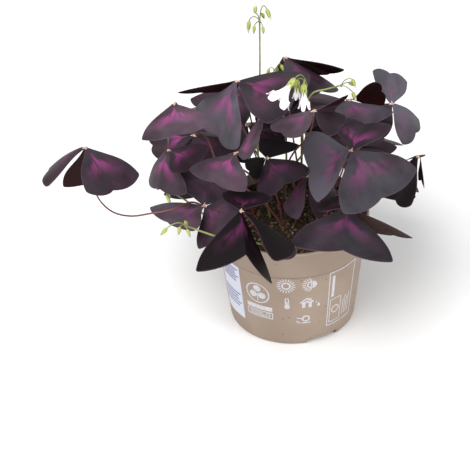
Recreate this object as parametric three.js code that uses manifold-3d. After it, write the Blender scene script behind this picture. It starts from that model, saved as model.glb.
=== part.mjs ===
// Purple shamrock (Oxalis triangularis) growing in its 12 cm nursery pot.
// Millimetres, +Z up. The origin is the centre of the pot's flat underside.
// Every leaf is three notched leaflets round a small hub, and its leafstalk rises from one of a few
// crowns that stand in plain holes in the potting soil. Flower stalks stand in holes of their own.
import * as THREE from 'three';
import { mergeVertices } from 'three/addons/utils/BufferGeometryUtils.js';
import Module from 'manifold-3d';

const wasm = await Module();
wasm.setup();

// ---- driving dimensions ----------------------------------------------------------------------

const POT = {
  height: 93.7,
  topRadius: 60,
  baseRadius: 49.5,
  cornerRadius: 2.5,
  wall: 1.5,
  floor: 6.5,
  bandHeight: 22.5, // the plain band round the top, which stands out from the wall under it
  bandStep: 1.3,
  bandTaper: 0.9, // how much wider the band is at the lip than at its foot
  bandBevel: 0.6,
  lipHeight: 2,
  lipStep: 0.7,
  lipBevel: 0.4,
  innerChamfer: 3, // between the floor and the wall
  segments: 32,
  cornerSteps: 3,
};
const RECESS = { count: 2, firstAzimuth: -64.5, arc: 30, height: 4.6, depth: 7, steps: 6 };
const DRAIN = { count: 6, ringRadius: 28, radius: 4, sides: 12 };
const CLEAR = 1; // how far a cutting body reaches past the face that it cuts

const SOIL = {
  edgeHeight: 85,
  crownRise: 3,
  relief: 0.7,
  levelEdge: 2, // the ring along the wall that has no relief
  rings: 5,
  segments: 32,
};
const HOLE = { sides: 8, headroom: 20 };
const GAP = 0.35; // between neighbouring solids

const BLADE = {
  thickness: 0.7,
  hubRadius: 1.8, // the leaflets hang from the edge of this small level disc
  lobeAngle: 44, // from the midrib to a lobe, degrees
  baseAngle: 57, // the same at the hub
  taperPower: 1.2, // how the width goes over from that at the hub to that at the lobes
  bulge: 6, // how much wider it is than that partway out, degrees
  bulgePower: 1.5, // above 1, the widest place lies towards the lobes
  hanging: 65, // a leaflet that droops more than this hangs, and is drawn in
  notch: 0.82, // length of the midrib over the leaflet's reach
  roomLeft: 4, // how much narrower than its room at the hub a steep leaflet is, degrees
  gapLeft: 3, // from a margin to the middle of the gap beside it, degrees
  lobeBend: 1.3, // how far the outer edge of each half bends from the notch to its lobe, radians
  columns: 4,
  rows: 3,
};
const LEAFLET_DEFAULTS = { roll: 0, fold: 3, curl: 5, scale: 1 };

const CROWN = { radius: 4.2, depth: 12, top: 3, sides: 10, ringRadius: 2.3, rootHeight: 1 };
const LEAFSTALK = { radius: 0.8, sides: 4, steps: 7, windingSteps: 16 };
const ARCH = { rise: 0.45, hang: 0.3, bowAtTop: 0.7 }; // a stalk's bend, as shares of its span and bow
const FLOWER_STALK = { radius: 0.95, sides: 5, steps: 8, depth: 12, collar: 3 };
const PEDICEL = { radius: 0.5, sides: 3, steps: 3, spread: 0.2, root: 0.5, grip: 1 };
const BUD = { sides: 5, rings: 4 };
const COROLLA = {
  throat: 1.3,
  thickness: 0.6,
  petals: 5,
  lobeDepth: 0.1, // of the notches between the petals, over the length
  flare: 1.7, // above 1, the funnel opens towards its mouth
  columns: 15,
  rows: 3,
};

// ---- materials -------------------------------------------------------------------------------

const material = (color, roughness) => new THREE.MeshStandardMaterial({ color, roughness, metalness: 0 });
const MATERIAL = {
  pot: material(0x968476, 0.6),
  soil: material(0x35251a, 0.95),
  blade: material(0x41303f, 0.5),
  leafstalk: material(0x6d2f33, 0.55),
  stalk: material(0x8fa24f, 0.5),
  petal: material(0xf4eef0, 0.45),
};

// ---- small helpers ---------------------------------------------------------------------------

const radians = THREE.MathUtils.degToRad;
const degrees = THREE.MathUtils.radToDeg;
const vector = (x, y, z) => new THREE.Vector3(x, y, z);

// A seeded generator, so that every build draws the same numbers from 0 to 1.
function seededRandom(seed) {
  let state = seed >>> 0;
  return () => {
    state = (Math.imul(state, 1664525) + 1013904223) >>> 0;
    return state / 4294967296;
  };
}

// A closed three.js geometry as a manifold solid.
function solidOf(geometry) {
  const bare = geometry.clone();
  bare.deleteAttribute('normal');
  bare.deleteAttribute('uv');
  const merged = mergeVertices(bare);
  const mesh = new wasm.Mesh({
    numProp: 3,
    vertProperties: new Float32Array(merged.attributes.position.array),
    triVerts: new Uint32Array(merged.index.array),
  });
  return new wasm.Manifold(mesh);
}

// The vertices and triangles of a solid as a three.js geometry.
function geometryOf(solid) {
  const mesh = solid.getMesh();
  const geometry = new THREE.BufferGeometry();
  geometry.setAttribute('position', new THREE.BufferAttribute(mesh.vertProperties, 3));
  geometry.setIndex(new THREE.BufferAttribute(mesh.triVerts, 1));
  return geometry;
}

// Several touching solids as one body, without the slivers that a join can shed inside it.
function joined(solids) {
  const pieces = solids.reduce((all, next) => all.add(next)).decompose();
  return pieces.sort((a, b) => b.volume() - a.volume())[0];
}

function meshOf(name, geometry, look) {
  const mesh = new THREE.Mesh(geometry, look);
  mesh.name = name;
  return mesh;
}

// An upright cylinder from one height to another.
function upright(x, y, radius, low, high, sides) {
  const geometry = new THREE.CylinderGeometry(radius, radius, high - low, sides);
  geometry.rotateX(Math.PI / 2);
  geometry.translate(x, y, (low + high) / 2);
  return solidOf(geometry);
}

// A rod of constant section along a curve.
function rod(curve, { radius, sides, steps }) {
  const section = new THREE.Shape();
  for (let i = 0; i < sides; i += 1) {
    const angle = (2 * Math.PI * i) / sides;
    section.lineTo(radius * Math.cos(angle), radius * Math.sin(angle));
  }
  return solidOf(new THREE.ExtrudeGeometry(section, { steps, extrudePath: curve }));
}

// ---- pot and soil ----------------------------------------------------------------------------

const BAND_FOOT = POT.height - POT.bandHeight;
const CHAMFER_TOP = POT.floor + POT.innerChamfer;

// Outer radius of the wall under the band, and inner radius anywhere above the floor.
const wallRadius = (z) => {
  const atBand = POT.topRadius - POT.lipStep - POT.bandStep - POT.bandTaper;
  return POT.baseRadius + ((atBand - POT.baseRadius) * z) / BAND_FOOT;
};
const innerRadius = (z) => wallRadius(z) - POT.wall;

function potProfile() {
  const corner = [];
  for (let i = 0; i <= POT.cornerSteps; i += 1) {
    const angle = (Math.PI / 2) * (i / POT.cornerSteps);
    const r = POT.baseRadius - POT.cornerRadius + POT.cornerRadius * Math.sin(angle);
    corner.push([r, POT.cornerRadius * (1 - Math.cos(angle))]);
  }
  const bandRadius = POT.topRadius - POT.lipStep;
  const points = [
    [0, 0],
    ...corner,
    [wallRadius(BAND_FOOT), BAND_FOOT],
    [wallRadius(BAND_FOOT) + POT.bandStep, BAND_FOOT + POT.bandBevel],
    [bandRadius, POT.height - POT.lipHeight],
    [POT.topRadius, POT.height - POT.lipHeight + POT.lipBevel],
    [POT.topRadius, POT.height],
    [innerRadius(POT.height), POT.height],
    [innerRadius(CHAMFER_TOP), CHAMFER_TOP],
    [innerRadius(CHAMFER_TOP) - POT.innerChamfer, POT.floor],
    [0, POT.floor],
  ];
  return points.map(([r, z]) => new THREE.Vector2(r, z));
}

// A body turned round Z from a profile of (radius, height) points.
function turned(profile, segments) {
  const geometry = new THREE.LatheGeometry(profile, segments);
  geometry.rotateX(Math.PI / 2);
  return geometry;
}

// The block that leaves one shallow recess under the edge of the base.
function recessBlock(azimuth) {
  const arc = radians(RECESS.arc);
  const inner = POT.baseRadius - RECESS.depth;
  const outer = POT.baseRadius + POT.cornerRadius + CLEAR;
  const shape = new THREE.Shape();
  shape.absarc(0, 0, outer, -arc / 2, arc / 2, false);
  shape.absarc(0, 0, inner, arc / 2, -arc / 2, true);
  shape.closePath();
  const geometry = new THREE.ExtrudeGeometry(shape, {
    depth: RECESS.height + CLEAR,
    bevelEnabled: false,
    curveSegments: RECESS.steps,
  });
  geometry.translate(0, 0, -CLEAR);
  geometry.rotateZ(radians(azimuth));
  return solidOf(geometry);
}

function makePot() {
  let pot = solidOf(turned(potProfile(), POT.segments));
  for (let i = 0; i < RECESS.count; i += 1) {
    pot = pot.subtract(recessBlock(RECESS.firstAzimuth + (360 * i) / RECESS.count));
  }
  for (let i = 0; i < DRAIN.count; i += 1) {
    const angle = (2 * Math.PI * i) / DRAIN.count;
    const x = DRAIN.ringRadius * Math.cos(angle);
    const y = DRAIN.ringRadius * Math.sin(angle);
    pot = pot.subtract(upright(x, y, DRAIN.radius, -CLEAR, POT.floor + CLEAR, DRAIN.sides));
  }
  return meshOf('pot', geometryOf(pot), MATERIAL.pot);
}

function soilProfile() {
  const low = POT.floor + GAP;
  const edge = innerRadius(SOIL.edgeHeight) - GAP;
  const side = innerRadius(CHAMFER_TOP);
  const points = [[0, low], [side - POT.innerChamfer - 2 * GAP, low], [side - GAP, CHAMFER_TOP + GAP]];
  for (let i = 0; i < SOIL.rings; i += 1) {
    const out = 1 - i / SOIL.rings;
    points.push([edge * out, SOIL.edgeHeight + SOIL.crownRise * (1 - out * out)]);
  }
  points.push([0, SOIL.edgeHeight + SOIL.crownRise]);
  return points.map(([r, z]) => new THREE.Vector2(r, z));
}

// Height of the soil's mean surface at a distance from the axis.
function soilHeight(x, y) {
  const out = Math.hypot(x, y) / (innerRadius(SOIL.edgeHeight) - GAP);
  return SOIL.edgeHeight + SOIL.crownRise * (1 - out * out);
}

function makeSoil(holes) {
  const geometry = mergeVertices(stripped(turned(soilProfile(), SOIL.segments)));
  const random = seededRandom(11);
  const position = geometry.attributes.position;
  const reliefRadius = innerRadius(SOIL.edgeHeight) - SOIL.levelEdge;
  for (let i = 0; i < position.count; i += 1) {
    const inside = Math.hypot(position.getX(i), position.getY(i)) < reliefRadius;
    if (position.getZ(i) > SOIL.edgeHeight - CLEAR && inside) {
      position.setZ(i, position.getZ(i) + SOIL.relief * (2 * random() - 1));
    }
  }
  let soil = solidOf(geometry);
  for (const { x, y, radius, depth, sides } of holes) {
    const top = soilHeight(x, y);
    soil = soil.subtract(upright(x, y, radius, top - depth, top + HOLE.headroom, sides));
  }
  return meshOf('potting_soil', geometryOf(soil), MATERIAL.soil);
}

function stripped(geometry) {
  geometry.deleteAttribute('normal');
  geometry.deleteAttribute('uv');
  return geometry;
}

// ---- thin bodies: leaf blades and corollas ---------------------------------------------------

// Gives a middle surface its thickness: the same triangles on both faces and a wall round the edge.
function thickened({ points, triangles, rim }, thickness) {
  const middle = new THREE.BufferGeometry().setFromPoints(points);
  middle.setIndex(triangles);
  middle.computeVertexNormals();
  const normal = middle.attributes.normal;
  const lift = (i, way) => points[i]
    .clone()
    .addScaledVector(vector(normal.getX(i), normal.getY(i), normal.getZ(i)), (way * thickness) / 2);
  const count = points.length;
  const vertices = [...points.map((_, i) => lift(i, 1)), ...points.map((_, i) => lift(i, -1))];
  const faces = [...triangles];
  for (let i = 0; i < triangles.length; i += 3) {
    faces.push(triangles[i + 2] + count, triangles[i + 1] + count, triangles[i] + count);
  }
  rim.forEach((p, i) => {
    const q = rim[(i + 1) % rim.length];
    faces.push(p, p + count, q + count, p, q + count, q);
  });
  const body = new THREE.BufferGeometry().setFromPoints(vertices);
  body.setIndex(faces);
  return body;
}

// ---- leaves ----------------------------------------------------------------------------------

// A leaflet is { az, droop, roll, fold, curl } in degrees: its compass direction, how far it points
// below level, its turn about the midrib, how far each half drops from the midrib, and its bend.
function leafletAxes({ az, droop, roll }) {
  const [a, d, r] = [az, droop, roll].map(radians);
  const out = vector(Math.cos(a), Math.sin(a), 0);
  const side = vector(-Math.sin(a), Math.cos(a), 0);
  const along = out.clone().multiplyScalar(Math.cos(d)).add(vector(0, 0, -Math.sin(d)));
  const upward = out.clone().multiplyScalar(Math.sin(d)).add(vector(0, 0, Math.cos(d)));
  const across = side.clone().multiplyScalar(Math.cos(r)).addScaledVector(upward, Math.sin(r));
  const normal = upward.multiplyScalar(Math.cos(r)).addScaledVector(side, -Math.sin(r));
  return { out, side, along, across, normal };
}

// The width of one half of a leaflet in degrees, at the hub and at the lobe. Steep leaflets are
// narrower, and so is a half with a near neighbour, so that the two don't cross.
function marginAngles(droop, gap) {
  const room = degrees(Math.atan(Math.sqrt(3) * Math.cos(radians(droop))));
  const base = Math.min(BLADE.baseAngle, room - BLADE.roomLeft, gap / 2 - BLADE.gapLeft);
  return { base, lobe: Math.min(BLADE.lobeAngle, room) };
}

const meanDroop = (leaflets) => leaflets.reduce((sum, { droop }) => sum + droop, 0) / leaflets.length;

// The angles from a leaflet to the next of the others, clockwise and anticlockwise.
function gapsBeside({ az }, others) {
  const turns = others.map((other) => (other.az - az + 720) % 360);
  return [360 - Math.max(0, ...turns), Math.min(360, ...turns)];
}

// The point at t from margin to margin (-1 to 1) and s from hub to edge (0 to 1), from the hub.
function leafletPoint(size, leaflet, margins, axes, t, s) {
  const { base, lobe } = margins[t > 0 ? 1 : 0];
  const taper = lobe + (base - lobe) * (1 - s) ** BLADE.taperPower;
  const angle = radians(t * (taper + BLADE.bulge * Math.sin(Math.PI * s ** BLADE.bulgePower)));
  const bend = Math.sin(BLADE.lobeBend * Math.abs(t)) / Math.sin(BLADE.lobeBend);
  const reach = BLADE.notch + (1 - BLADE.notch) * bend;
  const r = s * (reach * size - BLADE.hubRadius);
  const half = r * Math.sin(angle);
  const fold = radians(leaflet.fold);
  const drop = Math.abs(half) * Math.sin(fold) + (radians(leaflet.curl) / 2) * size * s * s;
  return axes.out
    .clone()
    .multiplyScalar(BLADE.hubRadius * Math.cos(angle))
    .addScaledVector(axes.side, BLADE.hubRadius * Math.sin(angle))
    .addScaledVector(axes.along, r * Math.cos(angle))
    .addScaledVector(axes.across, half * Math.cos(fold))
    .addScaledVector(axes.normal, -drop);
}

// The middle surface of a whole leaf: a hub point, and a grid of points for each leaflet round it.
function leafSurface({ hub, size, leaflets }) {
  const { columns, rows } = BLADE;
  const ordered = [...leaflets].sort((p, q) => ((p.az + 720) % 360) - ((q.az + 720) % 360));
  const hangs = (leaflet) => leaflet.droop > BLADE.hanging;
  const spreading = ordered.filter((leaflet) => !hangs(leaflet));
  const index = (leaflet, row, column) =>
    1 + leaflet * (rows + 1) * (columns + 1) + row * (columns + 1) + column;
  const points = [hub.clone()];
  const triangles = [];
  const ring = [];
  const rim = [];
  ordered.forEach((leaflet, n) => {
    const axes = leafletAxes(leaflet);
    const droop = hangs(leaflet) ? leaflet.droop : meanDroop(spreading);
    const others = hangs(leaflet) ? [] : spreading.filter((other) => other !== leaflet);
    const margins = gapsBeside(leaflet, others).map((gap) => marginAngles(droop, gap));
    for (let row = 0; row <= rows; row += 1) {
      for (let column = 0; column <= columns; column += 1) {
        const t = (2 * column) / columns - 1;
        points.push(leafletPoint(size * leaflet.scale, leaflet, margins, axes, t, row / rows).add(hub));
      }
    }
    for (let row = 0; row < rows; row += 1) {
      for (let column = 0; column < columns; column += 1) {
        const a = index(n, row, column);
        const b = index(n, row + 1, column);
        const c = index(n, row + 1, column + 1);
        const d = index(n, row, column + 1);
        if (column < columns / 2) triangles.push(a, b, d, b, c, d);
        else triangles.push(a, b, c, a, c, d);
      }
    }
    for (let column = 0; column <= columns; column += 1) ring.push(index(n, 0, column));
    for (let row = 0; row < rows; row += 1) rim.push(index(n, row, 0));
    for (let column = 0; column < columns; column += 1) rim.push(index(n, rows, column));
    for (let row = rows; row >= 0; row -= 1) rim.push(index(n, row, columns));
  });
  ring.forEach((p, i) => triangles.push(0, p, ring[(i + 1) % ring.length]));
  return { points, triangles, rim };
}

const leaflet = ([az, droop, roll, fold, curl, scale]) => ({
  az,
  droop,
  roll: roll ?? LEAFLET_DEFAULTS.roll,
  fold: fold ?? LEAFLET_DEFAULTS.fold,
  curl: curl ?? LEAFLET_DEFAULTS.curl,
  scale: scale ?? LEAFLET_DEFAULTS.scale,
});

const leaf = (crown, hub, size, leaflets, { bow = [0, 0, 0], via = null } = {}) => ({
  crown,
  hub: vector(...hub),
  size,
  leaflets: leaflets.map(leaflet),
  bow: vector(...bow),
  via,
});

// The crowns that the leafstalks rise from: x, y on the soil.
const CROWNS = [[-6, 12], [-27, 4], [24, 10], [20, -14], [-6, -14], [-24, -20], [-20, 30], [10, 34]];

// The leaves as the plant holds them: crown, hub, reach of the lobes, three leaflets
// [azimuth, droop, roll, fold, curl, scale], and the leafstalk's bow or the points that it passes.
const LEAVES = [
  leaf(1, [-148, -40, 181], 46,
    [[-49, 36, -22, -10, 4, 0.99], [176, 19, 14, 6, 24, 0.86], [84, 72, 0, 3, 5, 1.05]], {
    via: [
      [-44, -20, 108], [-60, -36, 121], [-72.5, -46, 134.5], [-79, -57, 141], [-87, -66, 143],
      [-104, -66, 140], [-119, -58, 133], [-133, -48, 131], [-143, -37, 136], [-146, -37, 155],
    ],
  }),
  leaf(5, [-83, -30, 209], 43,
    [[-91, 12, 16, 0, 6, 0.86], [56, 72, 0, 3, 5, 0.62], [188, 75, 0, 3, 5, 0.75]], {
    via: [[-44, -14, 117], [-56, -8, 146], [-61, -11, 166], [-67, -24, 180], [-75, -33, 191]],
  }),
  leaf(1, [-72, 25, 148], 44, [[-172, 3, 7, 0, 8, 0.89], [-48, 15, 0, 3, 5, 0.8], [75, 25]]),
  leaf(0, [-38, 0, 208], 55,
    [[-147, 61, 8, -9, 8, 0.97], [-26, -1, 2, 1, 9], [148, 27, 27, -1, 6, 0.8]],
    { bow: [-12, 0, 0] }),
  leaf(7, [-1, 45, 201], 49,
    [[11, 24, -35, -3, 9, 0.96], [-46, 18, -21, 6, 6], [150, 66, 0, 3, 5, 0.8]],
    { bow: [0, -24, -15] }),
  leaf(2, [46, 30, 171], 41,
    [[-69, 6, -7, -15, 7, 0.9], [2, -18, -62, 2, 5, 0.76], [150, 66, 0, 3, 5, 0.8]], {
    via: [[33, 13, 104], [39, 10, 117], [44, 14, 140]],
  }),
  leaf(2, [80, 40, 160], 42,
    [[-28, 44, -9, 4, 7, 0.86], [89, -42, 47, -1, 1, 0.74], [210, 20, 0, 3, 5, 0.8]]),
  leaf(3, [42, -40, 170], 52,
    [[165, 35, -34, -8, 3, 0.87], [-50, 38, 16, -10, 6, 0.96], [64, -16, -5, -12, 3, 0.67]], {
    via: [[25, -30, 108], [35, -37, 138]],
  }),
  leaf(2, [96, 0, 137], 40,
    [[-141, 52, 33, -1, 1, 1.13], [10, 82, 0, 3, 5, 0.7], [115, 38, 0, 3, 5, 0.5]],
    { bow: [0, 26, -12] }),
  leaf(4, [-41, -47, 176], 41,
    [[-125, 16, -5, 0, 6, 0.86], [-23, -49, 15, -3, 3, 0.79], [138, 35, 0, 3, 5, 0.5]],
    { bow: [-20, 0, 0] }),
  leaf(4, [-18, -5, 144], 40,
    [[-64, 15, 24, 12, 5, 0.85], [62, -7, -6, -4, 5, 0.7], [196, 30, 0, 3, 5, 0.5]]),
  leaf(0, [14, -58, 215], 37,
    [[-151, 15, 18, 0, 5, 0.92], [-26, 22, -5, 0, 4, 0.7], [42, 7, -37, -15, 10, 0.73]],
    { bow: [0, 10, 0] }),
  leaf(1, [-90, -20, 164], 43,
    [[-125, 52, 20, 15, 12, 0.83], [-41, 9, 7, -18, 4, 0.7], [84, 74, 0, 3, 5, 0.5]],
    { bow: [-10, 0, 0] }),
  leaf(5, [-65, -50, 134], 40,
    [[87, -24, 32, 12, 5, 0.85], [-61, 3, 40, -10, 5, 0.93], [-144, -6, 8, -6, 8, 1.01]]),
  leaf(5, [-39, -82, 150], 55,
    [[-86, 4, -19, 42, 6], [-23, 20, -39, 20, 10], [75, -8, 0, 3, 5, 0.5]], { bow: [0, -15, 0] }),
  leaf(3, [38, -60, 134], 58,
    [[-98, 4, -10, 8, 5, 0.95], [4, 37, -36, -1, 5, 0.91], [125, 8, 0, 3, 5, 0.45]],
    { bow: [10, -10, 0] }),
  leaf(3, [13, 0, 123], 33,
    [[-161, 38, 28, 26, 12, 1.07], [-28, 33, -5, 15, 8, 1.04], [78, 20, 0, 3, 5, 0.45]]),
  // the far side, an upper and a lower ring
  leaf(2, [44, 40, 120], 44, [[80, 4], [200, 4, 0, 3, 5, 0.75], [320, 8, 0, 3, 5, 0.88]]),
  leaf(7, [12, 64, 152], 43, [[60, 16], [180, 8], [300, 6, 0, 3, 5, 0.85]]),
  leaf(6, [-30, 66, 162], 45, [[100, 18], [220, 4], [340, 6]]),
  leaf(6, [-66, 62, 120], 42, [[125, 20], [245, 8], [5, 4]]),
  leaf(2, [76, 34, 101], 40,
    [[20, 26, 0, 3, 5, 0.75], [140, 2, 0, 3, 5, 0.5], [262, 4, 0, 3, 5, 0.9]],
    { bow: [0, 10, 0] }),
  leaf(2, [58, 76, 108], 43, [[63, 24], [183, 8, 0, 3, 5, 0.85], [303, 6, 0, 3, 5, 0.75]]),
  leaf(7, [16, 104, 128], 44, [[75, 28], [195, 8], [315, 6]]),
  leaf(6, [-30, 106, 106], 42, [[100, 26], [220, 8], [340, 8]]),
  leaf(6, [-72, 94, 128], 40, [[130, 26], [250, 8], [10, 8]], { bow: [10, 0, 0] }),
  leaf(1, [-70, 38, 108], 46, [[143, 22, 0, 3, 5, 0.8], [263, 8, 0, 3, 5, 0.8], [18, 6, 0, 3, 5, 0.85]]),
];

// ---- leafstalks ------------------------------------------------------------------------------

const crownBase = (crown) => vector(...CROWNS[crown], soilHeight(...CROWNS[crown]));

// From a place on its crown to just under the leaf's hub: up and out in one bow, or by way of
// chosen points where it winds between other leaves.
function leafstalkCurve({ crown, hub, bow, via }) {
  const centre = crownBase(crown);
  const toward = Math.atan2(hub.y - centre.y, hub.x - centre.x);
  const root = vector(Math.cos(toward), Math.sin(toward), 0).multiplyScalar(CROWN.ringRadius).add(centre);
  root.z += CROWN.rootHeight;
  const tip = hub.clone();
  tip.z -= BLADE.thickness / 2 + GAP;
  return stalkCurve(root, tip, bow, via);
}

function stalkCurve(root, tip, bow, via) {
  if (via) return new THREE.CatmullRomCurve3([root, ...via.map((point) => vector(...point)), tip]);
  const span = root.distanceTo(tip);
  const low = root.clone().add(vector(0, 0, span * ARCH.rise)).add(bow);
  const high = tip.clone().add(vector(0, 0, -span * ARCH.hang)).addScaledVector(bow, ARCH.bowAtTop);
  return new THREE.CubicBezierCurve3(root, low, high, tip);
}

function makeTuft(crown, leaves) {
  const [x, y] = CROWNS[crown];
  const base = soilHeight(x, y);
  const knob = upright(x, y, CROWN.radius, base - CROWN.depth, base + CROWN.top, CROWN.sides);
  const stalks = leaves.map((each) => {
    const steps = each.via ? LEAFSTALK.windingSteps : LEAFSTALK.steps;
    return rod(leafstalkCurve(each), { ...LEAFSTALK, steps });
  });
  return meshOf(`leafstalks_${crown + 1}`, geometryOf(joined([knob, ...stalks])), MATERIAL.leafstalk);
}

// ---- flowers ---------------------------------------------------------------------------------

// A flower head: its stalk's foot on the soil, the point where its pedicels meet, the stalk's bow or
// the points that it passes, and its flowers. A flower's calyx starts at top, which is given from that
// point, and reaches its length along aim; lift is how far its pedicel arches over. A corolla has a
// length and the radius of its mouth.
const flower = (top, lift, aim, length, radius, corolla = null) => ({
  top: vector(...top),
  lift,
  aim: vector(...aim).normalize(),
  length,
  radius,
  corolla,
});

const FLOWER_HEADS = [
  {
    foot: [-16, -2],
    umbel: [-20, 15, 248],
    via: [[-22, 1, 125], [-24, 2, 142], [-23, 8, 170], [-21, 12, 205]],
    flowers: [
      flower([-3, 1, 6], 2, [0, 0, 1], 9, 1.6),
      flower([5, -2, 11], 5, [0.35, 0, -1], 11, 1.7),
      flower([-7.5, 0, 1], 5, [-0.1, 0, -1], 11, 1.7),
      flower([-4, -4, -1], 2, [-0.1, -0.1, -1], 7, 1.4),
      flower([2, -4, -2], 2, [0.1, -0.2, -1], 6, 1.3),
      flower([2, 6, 3], 3, [0.3, 0.5, -1], 7, 1.4),
    ],
  },
  {
    foot: [7, 9],
    umbel: [10, -42, 226],
    via: [[2, 15, 118], [10, 4, 142], [9, -9, 160], [8, -22, 177], [6, -34, 192], [9, -40, 208]],
    flowers: [
      flower([-8, -3, 8], 5, [-0.58, -0.2, -0.73], 8, 2, { length: 14, mouth: 10 }),
      flower([-6, 3, 3], 4, [-0.05, 0, -1], 9, 1.9, { length: 6, mouth: 3 }),
      flower([-2, -4.5, 4], 4, [0.02, 0, -1], 9, 2.1, { length: 11, mouth: 4.6 }),
      flower([-1, 4, 2], 4, [0.1, 0.1, -1], 8, 1.5),
    ],
  },
  {
    foot: [-16, -36],
    umbel: [-78, -93, 147],
    via: [[-38, -72, 117], [-50, -90, 132], [-63, -95, 141]],
    flowers: [
      flower([-13, -2, 0], 6, [-0.5, 0, -0.6], 8, 1.6),
      flower([-4, -2, 1], 2, [-0.2, -0.2, -1], 7, 1.5),
      flower([0, 3, 2], 2, [0, 0.3, -1], 7, 1.5),
      flower([1, -4, 0], 2, [0.3, -0.3, -1], 7, 1.4),
    ],
  },
  {
    foot: [-36, -28],
    umbel: [-94, -31, 138],
    via: [[-66, -24, 108], [-80, -25, 123]],
    flowers: [
      flower([2, -1, 0], 3, [0.2, 0, -1], 8, 1.5),
      flower([4, 2, -2], 3, [0.4, 0.2, -1], 8, 1.5),
      flower([1, -4, -2], 3, [0.3, -0.3, -1], 11, 1.5),
    ],
  },
  {
    foot: [8, 20],
    umbel: [38, 2, 200],
    via: [[15, 15, 125], [14, 8, 148], [10, -2, 169], [11, -4, 187], [17, -4, 198], [27, -1, 199]],
    flowers: [
      flower([8, 0, 5], 2, [0.3, 0, -0.9], 9, 1.6),
      flower([8, -3, -4], 2, [0.3, 0, -0.9], 9, 1.6),
      flower([6, 4, 0], 2, [0.5, 0.4, -0.6], 8, 1.5),
    ],
  },
  {
    foot: [-4, 24],
    bow: [6, 15, 0],
    umbel: [-9, 19, 203],
    flowers: [
      flower([0, 1, 3], 3, [-0.2, 0, -1], 7, 1.5),
      flower([4, 1, 6], 3, [0.3, 0, -1], 6, 1.4),
      flower([-5, 1, 3], 3, [-0.2, 0.1, -1], 7, 1.4),
      flower([1, 4, 2], 3, [0, 0.4, -1], 7, 1.4),
    ],
  },
];

function budSolid(start, aim, length, radius) {
  const geometry = new THREE.SphereGeometry(1, BUD.sides, BUD.rings);
  geometry.scale(radius, length / 2, radius);
  geometry.applyQuaternion(new THREE.Quaternion().setFromUnitVectors(vector(0, 1, 0), aim));
  geometry.translate(...start.clone().addScaledVector(aim, length / 2).toArray());
  return solidOf(geometry);
}

function pedicelSolid(umbel, { top, lift, aim }) {
  const end = umbel.clone().add(top).addScaledVector(aim, PEDICEL.grip);
  const start = umbel.clone().add(vector(0, 0, -PEDICEL.root));
  const spread = vector(top.x, top.y, 0).multiplyScalar(PEDICEL.spread);
  const rise = start.clone().add(spread).add(vector(0, 0, Math.max(top.z, 0) + lift));
  const over = end.clone().addScaledVector(aim, -lift);
  return rod(new THREE.CubicBezierCurve3(start, rise, over, end), PEDICEL);
}

function makeFlowerStalk(number, { foot, umbel, bow = [0, 0, 0], via, flowers }) {
  const ground = soilHeight(...foot);
  const top = vector(...umbel);
  const { radius, sides, depth, collar } = FLOWER_STALK;
  const root = vector(...foot, ground + CROWN.rootHeight);
  const solids = [
    upright(...foot, radius, ground - depth, ground + collar, sides),
    rod(stalkCurve(root, top, vector(...bow), via), FLOWER_STALK),
  ];
  flowers.forEach((each) => {
    solids.push(pedicelSolid(top, each));
    solids.push(budSolid(top.clone().add(each.top), each.aim, each.length, each.radius));
  });
  return meshOf(`flower_stalk_${number}`, geometryOf(joined(solids)), MATERIAL.stalk);
}

// The funnel of five joined petals in front of a calyx: the middle surface opens from the throat.
function corollaSurface(start, aim, { length, mouth }) {
  const turn = new THREE.Quaternion().setFromUnitVectors(vector(0, 0, 1), aim);
  const points = [start.clone()];
  const triangles = [];
  const rim = [];
  const { columns, rows } = COROLLA;
  for (let row = 1; row <= rows; row += 1) {
    const s = row / rows;
    for (let column = 0; column < columns; column += 1) {
      const angle = (2 * Math.PI * column) / columns;
      const lobe = 1 - COROLLA.lobeDepth * s * s * (1 - Math.cos(COROLLA.petals * angle));
      const r = COROLLA.throat + (mouth - COROLLA.throat) * s ** COROLLA.flare * lobe;
      const point = vector(r * Math.cos(angle), r * Math.sin(angle), length * s * lobe);
      points.push(point.applyQuaternion(turn).add(start));
    }
  }
  const index = (row, column) => 1 + (row - 1) * columns + (column % columns);
  for (let column = 0; column < columns; column += 1) {
    triangles.push(0, index(1, column + 1), index(1, column));
    for (let row = 1; row < rows; row += 1) {
      const [a, b] = [index(row, column), index(row, column + 1)];
      const [c, d] = [index(row + 1, column + 1), index(row + 1, column)];
      triangles.push(a, b, c, a, c, d);
    }
    rim.unshift(index(rows, column));
  }
  return { points, triangles, rim };
}

function makeCorollas() {
  const meshes = [];
  FLOWER_HEADS.forEach(({ umbel, flowers }) => {
    flowers.filter((each) => each.corolla).forEach((each) => {
      const start = vector(...umbel).add(each.top);
      start.addScaledVector(each.aim, each.length + GAP + COROLLA.thickness / 2);
      const surface = corollaSurface(start, each.aim, each.corolla);
      const body = thickened(surface, COROLLA.thickness);
      meshes.push(meshOf(`corolla_${meshes.length + 1}`, body, MATERIAL.petal));
    });
  });
  return meshes;
}

// ---- the plant -------------------------------------------------------------------------------

const plant = new THREE.Group();
plant.add(makePot());
LEAVES.forEach((each, i) => {
  const name = `leaf_${String(i + 1).padStart(2, '0')}`;
  plant.add(meshOf(name, thickened(leafSurface(each), BLADE.thickness), MATERIAL.blade));
});
const holes = [];
CROWNS.forEach(([x, y], crown) => {
  plant.add(makeTuft(crown, LEAVES.filter((each) => each.crown === crown)));
  holes.push({ x, y, radius: CROWN.radius + GAP, depth: CROWN.depth + GAP, sides: CROWN.sides });
});
FLOWER_HEADS.forEach((head, i) => {
  const [x, y] = head.foot;
  plant.add(makeFlowerStalk(i + 1, head));
  const { radius, depth } = FLOWER_STALK;
  holes.push({ x, y, radius: radius + GAP, depth: depth + GAP, sides: HOLE.sides });
});
makeCorollas().forEach((mesh) => plant.add(mesh));
plant.add(makeSoil(holes));

export default plant;
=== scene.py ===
import math
import random

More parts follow.
